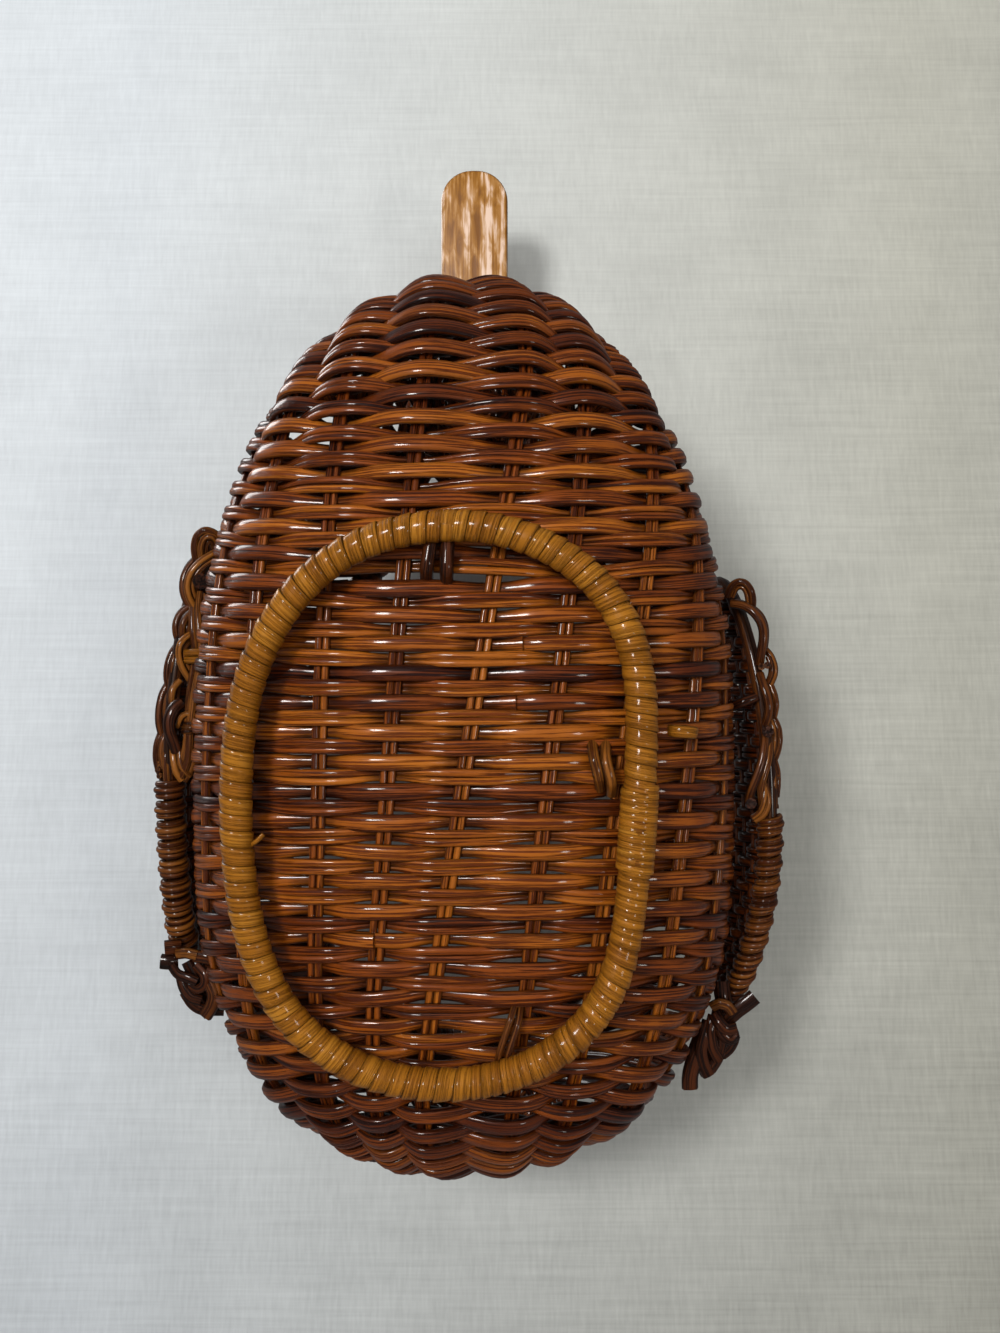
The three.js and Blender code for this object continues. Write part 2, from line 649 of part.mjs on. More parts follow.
function makeWing(label, side) {
  const steps = 40;
  const wingUp = () => wingOut(side);
  const hoopAt = (share) => wingHoopAt(side, share);
  const path = Array.from({ length: steps }, (_, i) => hoopAt(i / steps).point);
  const hoop = sweep(path, roundSection(wingHoopDiameter, 6), wingUp, true);
  addPiece(`wing_${label}_hoop`, hoop, finish.darkCane);

  const lowInset = wingWrapOuter + clearance + 0.4;
  const highInset = wingHoopDiameter / 2 + 2 * clearance;
  const columns = 14;
  const loops = [];
  for (let i = 0; i <= columns; i++) {
    const share = mix(0.06, 0.445, i / columns);
    const [lower, upper] = [hoopAt(share), hoopAt(-share)];
    const low = lower.point.addScaledVector(lower.aside, -lowInset);
    const high = upper.point.addScaledVector(upper.aside, -highInset);
    const out = wingOut(side).normalize().multiplyScalar(wingPanelThickness / 2);
    const line = [0, 0.25, 0.5, 0.75, 1].map((t) => low.clone().lerp(high, t));
    const outer = line.map((p) => p.clone().add(out));
    const inner = line.map((p) => p.clone().sub(out));
    loops.push([...outer, ...inner.reverse()]);
  }
  addPiece(`wing_${label}_panel`, skin(loops, 'strips'), finish.brownCane);

  const wrapFrom = 0.285;
  const wrapTo = 0.465;
  const sizes = [wingWrapInner, wingWrapWidth, wingWrapThickness];
  windStrip(`wing_${label}_wrap`, hoopAt, wrapFrom, wrapTo, wingLoops, ...sizes, finish.darkCane, false);

  const braidSteps = 36;
  const braidSeat = (wingHoopDiameter + wingBraidDiameter) / 2 + clearance;
  const braid = Array.from({ length: braidSteps + 1 }, (_, i) => {
    const { point, aside } = hoopAt(mix(-0.06, wrapFrom - 0.02, i / braidSteps));
    const wave = 0.6 + 1.6 * Math.abs(Math.sin((i / braidSteps) * 6 * Math.PI));
    return point.clone().addScaledVector(aside, braidSeat).addScaledVector(wingOut(side), wave);
  });
  addPiece(`wing_${label}_braid`, sweep(braid, roundSection(wingBraidDiameter, 5), wingUp), finish.darkCane);

  const tip = hoopAt(0.5);
  const start = tip.point.clone().add(vec(0, wingHoopDiameter / 2 + clearance, 0));
  const tuftWay = vec(-0.35 * side, 0.9, -0.25).normalize();
  const tuftSizes = [4, 6.5, 5.5, 6.5, 3];
  const tuft = tuftSizes.map((_, i) => {
    return start.clone().addScaledVector(tuftWay, (wingTuftLength * i) / (tuftSizes.length - 1));
  });
  const tuftOutline = (t) => roundSection(tuftSizes[Math.round(t * (tuftSizes.length - 1))], 8);
  addPiece(`wing_${label}_tuft`, sweep(tuft, tuftOutline, wingUp), finish.darkCane);

  for (const [place, turn] of [['front', 0.165], ['rear', 0.63]]) {
    const { point } = hoopAt(turn);
    const inner = nearestHull(point);
    const way = inner.clone().sub(point).normalize();
    const from = point.clone().addScaledVector(way, wingHoopDiameter / 2 + clearance);
    const room = roomBefore('body_weave', from, way, wingTieDiameter) - clearance;
    const to = from.clone().addScaledVector(way, room);
    const tie = sweep([from, to], roundSection(wingTieDiameter, 6), () => vec(0, 0.2, 1));
    addPiece(`wing_${label}_tie_${place}`, tie, finish.honeyCane);
  }
}

function nearestHull(from) {
  let best = null;
  let nearest = Infinity;
  for (let row = 3; row < 13; row += 0.1) {
    const limit = openingAngle(Math.acos(Math.min(1, Math.max(-1, (openingMiddle - row) / openingHalf))));
    for (let share = 0.4; share < 0.97; share += 0.02) {
      const point = hullPoint(row, Math.sign(from.x) * share * limit);
      const distance = point.distanceTo(from);
      if (distance < nearest) {
        nearest = distance;
        best = point;
      }
    }
  }
  return best;
}

makeBowl();
wovenTube('neck_weave', 0, bowlFrom - seam, 6, 20);
wovenTube('tail_weave', bowlTo + seam, lastStation, 6, 16);
makeTailTip();
makeStakes();
makeRimHoop();
makeHead();
makeBill();
makeEyes();
makeFoot();
makeFootTies();
makeWing('left', -1);
makeWing('right', 1);

// Origin: under the middle of the basket's bounding box
const model = new THREE.Group();
model.add(basket);
basket.updateMatrixWorld(true);
const bounds = new THREE.Box3().setFromObject(basket, true);
const middle = bounds.getCenter(new THREE.Vector3());
basket.position.set(-middle.x, -middle.y, -bounds.min.z);

export default model;
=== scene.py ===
import math
import random

import bmesh
import bpy
import numpy as np
from mathutils import Matrix, Vector, noise


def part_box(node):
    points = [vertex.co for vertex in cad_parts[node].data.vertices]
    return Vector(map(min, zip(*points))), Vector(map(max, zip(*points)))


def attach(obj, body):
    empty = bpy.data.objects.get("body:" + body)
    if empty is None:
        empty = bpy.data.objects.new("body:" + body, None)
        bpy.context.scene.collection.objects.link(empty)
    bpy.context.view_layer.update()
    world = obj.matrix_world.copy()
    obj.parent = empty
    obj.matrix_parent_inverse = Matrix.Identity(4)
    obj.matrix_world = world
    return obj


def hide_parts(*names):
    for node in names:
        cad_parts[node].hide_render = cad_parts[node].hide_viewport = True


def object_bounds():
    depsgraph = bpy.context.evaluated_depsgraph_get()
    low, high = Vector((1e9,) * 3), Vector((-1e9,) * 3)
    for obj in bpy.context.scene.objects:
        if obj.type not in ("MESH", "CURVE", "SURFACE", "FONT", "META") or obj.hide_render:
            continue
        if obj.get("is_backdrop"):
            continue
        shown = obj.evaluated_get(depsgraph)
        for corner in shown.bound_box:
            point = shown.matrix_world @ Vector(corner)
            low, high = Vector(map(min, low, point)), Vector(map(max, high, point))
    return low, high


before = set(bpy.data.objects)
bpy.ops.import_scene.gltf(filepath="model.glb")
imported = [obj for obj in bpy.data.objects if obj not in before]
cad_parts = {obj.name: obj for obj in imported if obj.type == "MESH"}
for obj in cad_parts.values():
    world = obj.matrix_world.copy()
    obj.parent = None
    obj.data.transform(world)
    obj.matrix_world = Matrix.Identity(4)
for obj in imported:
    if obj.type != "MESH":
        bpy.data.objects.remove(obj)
cadLow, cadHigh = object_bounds()
random.seed(7)
print("frame loaded")

# Lengths are in millimetres until a mesh is written. The datum is the middle of the foot hoop, on the floor.
mm = 0.001
billTipY = -177
billLow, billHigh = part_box("bill")
datum = np.array([(billLow.x + billHigh.x) / 2, billLow.y - billTipY * mm, 0.0])


def mix(a, b, t):
    return a + (b - a) * t


def unit(vectors):
    return vectors / np.maximum(np.linalg.norm(vectors, axis=-1, keepdims=True), 1e-9)


def smoothStep(edge0, edge1, value):
    t = np.clip((value - edge0) / (edge1 - edge0), 0, 1)
    return t * t * (3 - 2 * t)


# Chance, up to an amount either way
def vary(amount):
    return amount * random.uniform(-1, 1)


# Slow, repeatable wobble along a length
def wobble(places, seed, wavelength):
    return np.array([noise.noise(Vector((p / wavelength, seed * 3.71, 0.5))) for p in places])


def lengthsAlong(points):
    return np.concatenate([[0], np.cumsum(np.linalg.norm(np.diff(points, axis=0), axis=1))])


# A table read the same way on both sides of zero
def mirrored(values, knots, results):
    return np.sign(values) * np.interp(np.abs(values), knots, results)


def circleTurns(count):
    return np.linspace(0, 2 * np.pi, count + 1)[:-1]


# Ring of points in the plane of two directions
def ringPath(middle, radius, first, second, count):
    turn = circleTurns(count)[:, None]
    return middle + radius * (np.cos(turn) * first + np.sin(turn) * second)


def tangentsOf(points, closed):
    if closed:
        return unit(np.roll(points, -1, axis=0) - np.roll(points, 1, axis=0))
    return unit(np.gradient(points, axis=0))


# Materials

def setInputs(tree, node, inputs):
    for key, value in inputs.items():
        if isinstance(value, bpy.types.NodeSocket):
            tree.links.new(value, node.inputs[key])
        else:
            node.inputs[key].default_value = value


def addNode(tree, kind, inputs={}, **settings):
    node = tree.nodes.new("ShaderNode" + kind)
    for key, value in settings.items():
        setattr(node, key, value)
    setInputs(tree, node, inputs)
    return node


def calc(tree, operation, *values, kind="Math"):
    return addNode(tree, kind, dict(enumerate(values)), operation=operation).outputs[0]


def noiseOf(tree, place, scale, detail, roughness=0.5, distortion=0.0):
    return addNode(tree, "TexNoise", {"Vector": place, "Scale": scale, "Detail": detail,
                                      "Roughness": roughness, "Distortion": distortion}).outputs["Fac"]


def mapped(tree, value, low, high, newLow=0.0, newHigh=1.0, **settings):
    return addNode(tree, "MapRange", {"Value": value, "From Min": low, "From Max": high, "To Min": newLow,
                                      "To Max": newHigh}, **settings).outputs[0]


def bumpOf(tree, height, strength, distance):
    return addNode(tree, "Bump", {"Height": height, "Strength": strength, "Distance": distance}).outputs[0]


def scaled(tree, color, factor):
    return addNode(tree, "VectorMath", {0: color, "Scale": factor}, operation="SCALE").outputs[0]


def newMaterial(name):
    material = bpy.data.materials.new(name)
    material.use_nodes = True
    tree = material.node_tree
    return material, tree, tree.nodes["Principled BSDF"]


def objectPlace(tree):
    return addNode(tree, "TexCoord").outputs["Object"]


def ramp(tree, factor, stops):
    node = addNode(tree, "ValToRGB", {"Fac": factor})
    elements = node.color_ramp.elements
    while len(elements) < len(stops):
        elements.new(0.5)
    for element, (position, color) in zip(elements, stops):
        element.position = position
        element.color = (*color, 1)
    return node.outputs["Color"]


caneFinish = {
    "fibreScale": 2.1,  # fibres along a cane
    "fibreDetail": 4,
    "fibreRoughness": 0.68,
    "fibreEdges": (0.41, 0.52),
    "blotchScale": 110,  # uneven stain, per metre
    "blotchDetail": 4,
    "blotchRoughness": 0.6,
    "blotchShare": 0.36,
    "groove": 0.00018,  # depth between fibres
    "hiddenShade": 0.9,  # how dark the painted shade is where canes cross under others and along their sides, with some real stain gathered there
    "coatRoughness": 0.1,
    "specular": 0.12,
    "grainLength": 55,  # millimetres of cane per unit of its grain
    "grainShift": (5.3, 1.7),  # from one cane's grain to the next one's, along and across
    "sideFade": 4,  # how near its edges a cane's painted shade reaches
    # how near its edges a wound strip's painted shade reaches, where it meets the next turn
    "stripFade": 9,
}


# Varnished cane. The cane attribute holds the length along the cane, its lightness and its painted shade:
# darker where it is hidden under other canes and along its sides.
def caneMaterial(name, stops, roughness, coat, fibreShare):
    material, tree, shader = newMaterial(name)
    cane = addNode(tree, "Attribute", attribute_name="cane")
    parts = addNode(tree, "SeparateXYZ", {0: cane.outputs["Vector"]})
    grain = addNode(tree, "Attribute", attribute_name="grain")
    streaks = noiseOf(tree, grain.outputs["Vector"], caneFinish["fibreScale"], caneFinish["fibreDetail"],
                      caneFinish["fibreRoughness"])
    fibres = mapped(tree, streaks, *caneFinish["fibreEdges"], interpolation_type="SMOOTHSTEP")
    blotches = noiseOf(tree, objectPlace(tree), caneFinish["blotchScale"], caneFinish["blotchDetail"],
                       caneFinish["blotchRoughness"])
    lightness = parts.outputs["Y"]
    for source, share in ((fibres, fibreShare), (blotches, caneFinish["blotchShare"])):
        part = calc(tree, "MULTIPLY_ADD", source, share, -share / 2)
        lightness = calc(tree, "ADD", lightness, part)
    # Painted shade: the colour darkens by the cane attribute's third value
    shade = calc(tree, "MULTIPLY_ADD", parts.outputs["Z"], -caneFinish["hiddenShade"], 1.0)
    setInputs(tree, shader, {
        "Base Color": scaled(tree, ramp(tree, lightness, stops), shade),
        "Normal": bumpOf(tree, fibres, 1.0, caneFinish["groove"]),
        "Roughness": roughness, "Coat Weight": coat, "Coat Roughness": caneFinish["coatRoughness"],
        "Specular IOR Level": caneFinish["specular"]})
    return material


brownStops = [(0.0, (0.015, 0.003, 0.002)), (0.35, (0.074, 0.013, 0.002)), (0.65, (0.195, 0.042, 0.004)),
              (1.0, (0.38, 0.112, 0.009))]
darkStops = [(0.0, (0.008, 0.002, 0.001)), (0.5, (0.070, 0.016, 0.003)), (1.0, (0.25, 0.085, 0.011))]
honeyStops = [(0.0, (0.05, 0.011, 0.001)), (0.4, (0.20, 0.065, 0.004)), (0.75, (0.31, 0.115, 0.008)),
              (1.0, (0.44, 0.195, 0.022))]
caneStains = {
    "brown_cane": caneMaterial("brown_cane", brownStops, 0.4, 0.42, 0.42),
    "dark_cane": caneMaterial("dark_cane", darkStops, 0.45, 0.34, 0.4),
    "honey_cane": caneMaterial("honey_cane", honeyStops, 0.42, 0.3, 0.14),
}


# Canes: curves that are made a mesh, with each ring of it pressed to the cane's own width and thickness

# hidden and side give a cane painted shade where other canes cover it and along its edges
def cane(points, ups, width, thickness, tone=0.5, hidden=0.0, closed=False, side=0.8):
    count = len(points)
    spread = lambda value: np.broadcast_to(np.asarray(value, float), (count,))
    return {"points": np.asarray(points, float), "ups": np.broadcast_to(np.asarray(ups, float), (count, 3)),
            "width": spread(width), "thickness": spread(thickness), "tone": spread(tone),
            "hidden": spread(hidden), "closed": closed, "side": side}


def layCurve(name, canes, sides):
    curve = bpy.data.curves.new(name, "CURVE")
    curve.dimensions = "3D"
    curve.bevel_depth = mm
    curve.bevel_resolution = sides // 2 - 2
    curve.use_fill_caps = False
    for item in canes:
        spline = curve.splines.new("POLY")
        spline.points.add(len(item["points"]) - 1)
        places = np.ones((len(item["points"]), 4))
        places[:, :3] = datum + item["points"] * mm
        spline.points.foreach_set("co", places.ravel())
        spline.use_cyclic_u = item["closed"]
    laid = bpy.data.objects.new(name, curve)
    mesh = bpy.data.meshes.new_from_object(laid)
    bpy.data.objects.remove(laid)
    bpy.data.curves.remove(curve)
    return mesh


def pressCanes(mesh, canes, sides, squareness):
    turn = 2 * np.pi * np.arange(sides) / sides
    reach = np.abs(np.cos(turn))
    across, through = [np.sign(wave) * np.abs(wave) ** squareness for wave in (np.cos(turn), np.sin(turn))]
    alongShift, acrossShift = caneFinish["grainShift"]
    placeRows, caneRows, grainRows = [], [], []
    for number, item in enumerate(canes):
        points, closed = item["points"], item["closed"]
        along = tangentsOf(points, closed)
        aside = unit(np.cross(along, item["ups"]))
        up = np.cross(aside, along)
        a = across * item["width"][:, None] / 2
        b = through * item["thickness"][:, None] / 2
        rings = points[:, None] + aside[:, None] * a[..., None] + up[:, None] * b[..., None]
        placeRows.append((datum + rings * mm).reshape(-1, 3))
        length = lengthsAlong(points)
        flat = lambda value: np.broadcast_to(value[:, None], a.shape)
        # Painted shade: darker where the cane is covered and towards its edges, where it meets its neighbours
        edge = reach ** (caneFinish["stripFade"] if item["side"] == 1 else caneFinish["sideFade"])
        shade = np.clip(flat(item["hidden"]) + item["side"] * edge, 0, 1)
        caneRows.append(np.stack([flat(length), flat(item["tone"]), shade], -1).reshape(-1, 3))
        grainAlong = flat(length / caneFinish["grainLength"] + number * alongShift)
        grainRows.append(np.stack([grainAlong, a + number * acrossShift, b], -1).reshape(-1, 3))
    mesh.vertices.foreach_set("co", np.concatenate(placeRows).ravel())
    for name, rows in (("cane", caneRows), ("grain", grainRows)):
        layer = mesh.attributes.new(name, "FLOAT_VECTOR", "POINT")
        layer.data.foreach_set("vector", np.concatenate(rows).ravel())
    mesh.update()


def writeShape(shape, mesh):
    shape.to_mesh(mesh)
    shape.free()
    return mesh


def addObject(name, data):
    made = bpy.data.objects.new(name, data)
    bpy.context.scene.collection.objects.link(made)
    return made


# Closes the open ends of canes with flat cut faces
def closeEnds(mesh):
    shape = bmesh.new()
    shape.from_mesh(mesh)
    rims = [edge for edge in shape.edges if edge.is_boundary]
    cuts = bmesh.ops.holes_fill(shape, edges=rims, sides=0)["faces"]
    for cut in cuts:
        for edge in cut.edges:
            edge.smooth = False
    bmesh.ops.recalc_face_normals(shape, faces=shape.faces)
    writeShape(shape, mesh)


def addPiece(name, mesh, material, nodes):
    piece = addObject(name, mesh)
    mesh.materials.clear()
    mesh.materials.append(material)
    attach(piece, "root")
    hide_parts(*nodes)
    return piece


def makeCanes(name, canes, slot, nodes, sides=8, squareness=1.0):
    mesh = layCurve(name, canes, sides)
    pressCanes(mesh, canes, sides, squareness)
    closeEnds(mesh)
    mesh.shade_smooth()
    print(f"{name}: {len(canes)} canes, {2 * len(mesh.polygons)} triangles")
    return addPiece(name, mesh, caneStains[slot], nodes)


# Hull of the weave: row stations from the neck to the tail, as in the solid model

hull = {
    "bodyWidth": 129, "breastReach": 125.5, "tailReach": 98.6, "bellyZ": 4, "crownZ": 84,
    "neck": (-106, 91, 14), "neckTilt": 18, "tail": (104, 93, 6), "tailTilt": 135,  # y, z and radius
    "openingFrom": 2, "openingTo": 13, "openingHalfAngle": 65,
}


def alongHull(share):
    return hull["breastReach" if share < 0 else "tailReach"] * share


def lift(share):
    return hull["bellyZ"] + (hull["crownZ"] - hull["bellyZ"]) * share


# Keel, middle and top of one station, each as y and z, then its half width and how full it is
def station(keelY, keelZ, midY, midZ, topY, topZ, halfWidth, fullness):
    return np.array([alongHull(keelY), lift(keelZ), alongHull(midY), lift(midZ), alongHull(topY), lift(topZ),
                     hull["bodyWidth"] / 2 * halfWidth, fullness])


def tiltedRing(place, tilt):
    y, z, radius = place
    dy, dz = radius * math.cos(math.radians(tilt)), radius * math.sin(math.radians(tilt))
    return np.array([y - dy, z - dz, y, z, y + dy, z + dz, radius, 2])


neckTop = tiltedRing(hull["neck"], hull["neckTilt"])
neckBase = station(-0.967, 0.775, -0.772, 0.83, -0.561, 0.8875, 0.39, 2)
neckMiddle = mix(neckTop, neckBase, 0.42)
neckMiddle[6] = mix(neckTop[6], neckBase[6], 0.24)
stations = np.array([
    neckTop,
    neckMiddle,
    neckBase,
    station(-1, 0.6, -0.667, 0.7, -0.407, 0.9, 0.63, 2),
    station(-0.927, 0.365, -0.528, 0.6125, -0.293, 0.93, 0.8, 2.1),
    station(-0.764, 0.18, -0.374, 0.55, -0.195, 0.965, 0.92, 2.25),
    station(-0.537, 0.0675, -0.211, 0.525, -0.081, 1, 0.985, 2.45),
    station(-0.26, 0.0125, -0.04, 0.52, 0.041, 1, 1, 2.6),
    station(0.05, 0, 0.155, 0.525, 0.206, 1, 1, 2.6),
    station(0.412, 0.02, 0.371, 0.5375, 0.361, 1, 0.975, 2.5),
    station(0.69, 0.104, 0.557, 0.57, 0.495, 1.01, 0.88, 2.3),
    station(0.866, 0.265, 0.711, 0.625, 0.619, 1.025, 0.735, 2.1),
    station(0.959, 0.48, 0.825, 0.7125, 0.732, 1.04, 0.525, 2),
    station(1, 0.7, 0.907, 0.825, 0.825, 1.06, 0.29, 2),
    station(1.03, 0.88, 0.979, 0.96, 0.928, 1.08, 0.155, 2),
    tiltedRing(hull["tail"], hull["tailTilt"]),
])
lastStation = len(stations) - 1
openingMiddle = (hull["openingFrom"] + hull["openingTo"]) / 2
openingHalf = (hull["openingTo"] - hull["openingFrom"]) / 2


# Smooth curve through the stations
def stationAt(x):
    x = np.asarray(x, float)
    low = np.clip(np.floor(x).astype(int), 0, lastStation - 1)
    t = (x - low)[..., None]
    a, b, c, d = [stations[np.clip(low + k, 0, lastStation)] for k in (-1, 0, 1, 2)]
    bend = (2 * a - 5 * b + 4 * c - d) * t ** 2 + (3 * b - a - 3 * c + d) * t ** 3
    return 0.5 * (2 * b + (c - a) * t + bend)


# Point on the hull's outer face. The angle is 0 at the keel and pi at the crown.
def hullPoint(x, angle):
    x, angle = np.broadcast_arrays(np.asarray(x, float), np.asarray(angle, float))
    keelY, keelZ, midY, midZ, topY, topZ, halfWidth, fullness = np.moveaxis(stationAt(x), -1, 0)
    down = np.cos(angle) >= 0
    dy = np.where(down, keelY, topY) - midY
    dz = np.where(down, keelZ, topZ) - midZ
    depth = np.hypot(dy, dz)
    c, s = np.abs(np.cos(angle)), np.sin(angle)
    radius = ((c / depth) ** fullness + (np.abs(s) / halfWidth) ** fullness) ** (-1 / fullness)
    return np.stack([radius * s, midY + dy / depth * radius * c, midZ + dz / depth * radius * c], -1)


def hullNormal(x, angle):
    step = 0.02
    along = hullPoint(x + step, angle) - hullPoint(x - step, angle)
    around = hullPoint(x, angle + step) - hullPoint(x, angle - step)
    return unit(np.cross(along, around))


def openingTurn(x):
    return np.arccos(np.clip((openingMiddle - np.asarray(x, float)) / openingHalf, -1, 1))


def openingAngle(turn):
    return np.pi - math.radians(hull["openingHalfAngle"]) * np.abs(np.sin(turn)) ** 0.8


# The hull on a fine grid of stations and angles, with lengths from the keel
gridX = np.linspace(0, lastStation, 451)
gridAngle = np.linspace(0, np.pi, 181)
gridPoints = hullPoint(gridX[:, None], gridAngle[None, :])
gridArc = np.zeros(gridPoints.shape[:2])
gridArc[:, 1:] = np.cumsum(np.linalg.norm(np.diff(gridPoints, axis=1), axis=2), axis=1)


# One column of a grid table, read at stations
def atStations(xs, table):
    place = np.clip(np.asarray(xs, float) / lastStation * (len(gridX) - 1), 0, len(gridX) - 1.001)
    low = place.astype(int)
    share = (place - low)[..., None]
    return table[low] * (1 - share) + table[low + 1] * share


# Length from the keel to an angle, and the other way round
def arcTo(xs, angles):
    rows = atStations(xs, gridArc)
    return np.array([mirrored(angle, gridAngle, row) for angle, row in zip(angles, rows)])


def angleAt(xs, lengths):
    rows = atStations(xs, gridArc)
    return np.array([mirrored(length, row, gridAngle) for length, row in zip(lengths, rows)])


# Stakes

stake = {
    "count": 13, "spacing": 16.2, "offset": 2, "arc": 108,
    "spread": 108, "endSpread": 54,  # degrees from the keel, amidships and how much more towards the ends
    "depth": 2.05,  # depth of the middle of the rods
    "rod": 1.7, "apart": 1.72, "lean": 0.08, "middleLean": 0.14, "uprightY": -8,
    "tone": 0.62, "toneSpread": 0.14, "endShade": 0.3,
}
# Sideways slips of single stakes, from the keel outwards, as they were pushed by hand
stakeSlip = {-2: (0.03, 1.5), 0: (0.0, -0.6), 1: (-0.01, 0.3), 2: (-0.03, -0.5)}
stakePlaces = range(-(stake["count"] // 2), stake["count"] // 2 + 1)


# Lengths from the keel to the stakes at one station
def stakeMarks(x):
    away = min(abs(x - openingMiddle) / openingHalf, 1.02)
    limit = math.radians(stake["spread"] + stake["endSpread"] * away ** 3)
    arc = float(arcTo([x], [limit])[0])
    keelY = float(np.clip(stationAt(x)[0], -0.75 * hull["breastReach"], 0.65 * hull["tailReach"]))
    straighten = min(1, max(0, (x - 2) / 2)) * min(1, max(0, (lastStation - 2 - x) / 2))
    marks = []
    for place in stakePlaces:
        leanSlip, shift = stakeSlip.get(place, (0, 0))
        lean = (stake["middleLean"] if place == 0 else stake["lean"]) - leanSlip
        drift = (shift - lean * (keelY - stake["uprightY"])) * straighten
        marks.append((place * stake["spacing"] + stake["offset"] + drift) * arc / stake["arc"])
    return marks + [arc / stake["arc"]]


markTable = np.array([stakeMarks(x) for x in gridX])
stakeScale = markTable[:, -1]
markTable = markTable[:, :-1]


def surfaceCane(xs, angles, heights):
    normals = hullNormal(xs, angles)
    return hullPoint(xs, angles) + normals * np.asarray(heights)[..., None], normals


def makeStakes():
    canes = []
    xs = np.linspace(0.02, lastStation - 0.02, 190)
    marks = atStations(xs, markTable)
    taper = np.clip(np.interp(xs, gridX, stakeScale) * 1.9, 0.35, 1)
    for k, place in enumerate(stakePlaces):
        for side in (-1, 1):
            aside = side * stake["apart"] / 2 * taper + 0.12 * wobble(xs * 14, place * 2 + side, 20)
            angles = angleAt(xs, marks[:, k] + aside)
            points, normals = surfaceCane(xs, angles, np.full(len(xs), -stake["depth"]))
            tone = stake["tone"] + vary(stake["toneSpread"])
            tone = tone - stake["endShade"] * smoothStep(45, 80, np.abs(points[:, 1]))
            canes.append(cane(points, normals, stake["rod"] * taper, stake["rod"] * taper, tone, 0.1))
    nodes = [f"stake_pair_{k + 1:02d}" for k in range(stake["count"])]
    makeCanes("stakes", canes, "brown_cane", nodes, 8)


# Weave: single canes and pairs of thin canes take turns, over one stake and under the next

weave = {
    "pitch": 3.07, "singleRowY": -20.6,  # rows are this far apart along the keel, and one single row is here
    "tailPitch": 2.6, "closest": 2.1, "step": 1.4,
    "single": (3.65, 1.85), "thin": (1.84, 1.5), "thinApart": 1.58, "girthSpread": (0.95, 1.05), "pinch": 0.2,
    "wave": 1.25, "dip": 1.7, "stray": 0.36, "strayEach": 0.22, "gapFade": 9,
    "endsFrom": 50, "endsTo": 90,  # distances from the middle over which the canes of the ends get bolder
    "endWave": 0.8, "endDip": 0.75, "endStray": 0.2, "endGirth": {"single": 0.16, "thin": 0.2},
    "tone": 0.38, "toneSpread": 0.18, "amber": 0.19, "breastLight": 0.13, "darkShare": 0.18, "darker": 0.2,
    # how much painted shade a cane gets where it runs under a stake
    "hidden": 0.6,
}
# Lean of the rows' planes from upright, in degrees, by the station of the keel
rowLean = [(2, 82), (3, 64), (4, 39), (5, 11), (5.5, -2), (6, -8), (6.5, -9), (7, -5), (8, 6), (9, 13),
           (10, 16.5), (11, 1), (12, -16), (13, -44)]
# Gaps where the weave stands open: place along the basket, sideways place, half width, size
openGaps = [(-47.2, -5, 20, 1.0), (-21, -40, 7, 0.3), (36, -24, 9, 0.3), (44, -8, 10, 0.35),
            (-50, 28, 9, 0.4)]
# Joins where one cane ends on top of the next: place along the basket and sideways place
joins = [(-33, 13), (-21, 11), (-4, 30), (29, -18)]


def rowStations(start, end, pitch, angle):
    xs = np.linspace(start, end, 3000)
    lengths = lengthsAlong(hullPoint(xs, angle))
    count = int(lengths[-1] / pitch)
    return np.interp(np.linspace(0, lengths[-1], count + 1), lengths, xs)


# Stations of the bowl's rows along the keel, and the number of each row. Even rows are single canes.
def bowlRows():
    xs = np.linspace(2.05, 12.95, 4000)
    points = hullPoint(xs, 0.0)
    lengths = lengthsAlong(points)
    belly = (xs > 5) & (xs < 9)
    lengths -= lengths[belly][np.argmin(np.abs(points[belly, 1] - weave["singleRowY"]))]
    numbers = np.arange(math.ceil(lengths[0] / weave["pitch"]), math.floor(lengths[-1] / weave["pitch"]) + 1)
    return numbers, np.interp(numbers * weave["pitch"], lengths, xs)


# Line of one bowl row over the hull: it lies in a plane that leans, from the keel to the rim, neck or tail
def rowLine(x):
    lean = math.radians(np.interp(x, *zip(*rowLean)))
    keel = hullPoint(x, 0.0)
    away = (gridPoints[..., 1] - keel[1]) * math.cos(lean) - (gridPoints[..., 2] - keel[2]) * math.sin(lean)
    line = [x]
    for k in range(1, len(gridAngle)):
        column = away[:, k]
        turns = np.nonzero(column[:-1] * column[1:] <= 0)[0]
        if not len(turns):
            break
        found = gridX[turns] + column[turns] / (column[turns] - column[turns + 1]) * (gridX[1] - gridX[0])
        best = found[np.argmin(np.abs(found - line[-1]))]
        if best < 2.04 or best > 12.96 or gridAngle[k] > openingAngle(openingTurn(best)):
            break
        line.append(best)
    return np.array(line)


# Lines of all bowl rows. A row ends where it would crowd the one before it, as packing rows do.
def rowLines():
    numbers, xs = bowlRows()
    lines = {}
    for way in (1, -1):
        last = np.full((len(gridAngle), 3), np.inf)
        for number, x in sorted(zip(numbers * way, xs)):
            if number < (0 if way > 0 else 1):
                continue
            line = rowLine(x)
            points = hullPoint(line, gridAngle[:len(line)])
            crowded = np.linalg.norm(points - last[:len(line)], axis=1) < weave["closest"]
            crowded[:12] = False
            kept = int(np.argmax(crowded)) if crowded.any() else len(line)
            last[:kept] = points[:kept]
            if kept > 15:
                lines[number * way] = (line[:kept], kept < len(line) or line[-1] < 2.2 or line[-1] > 12.8)
    return lines


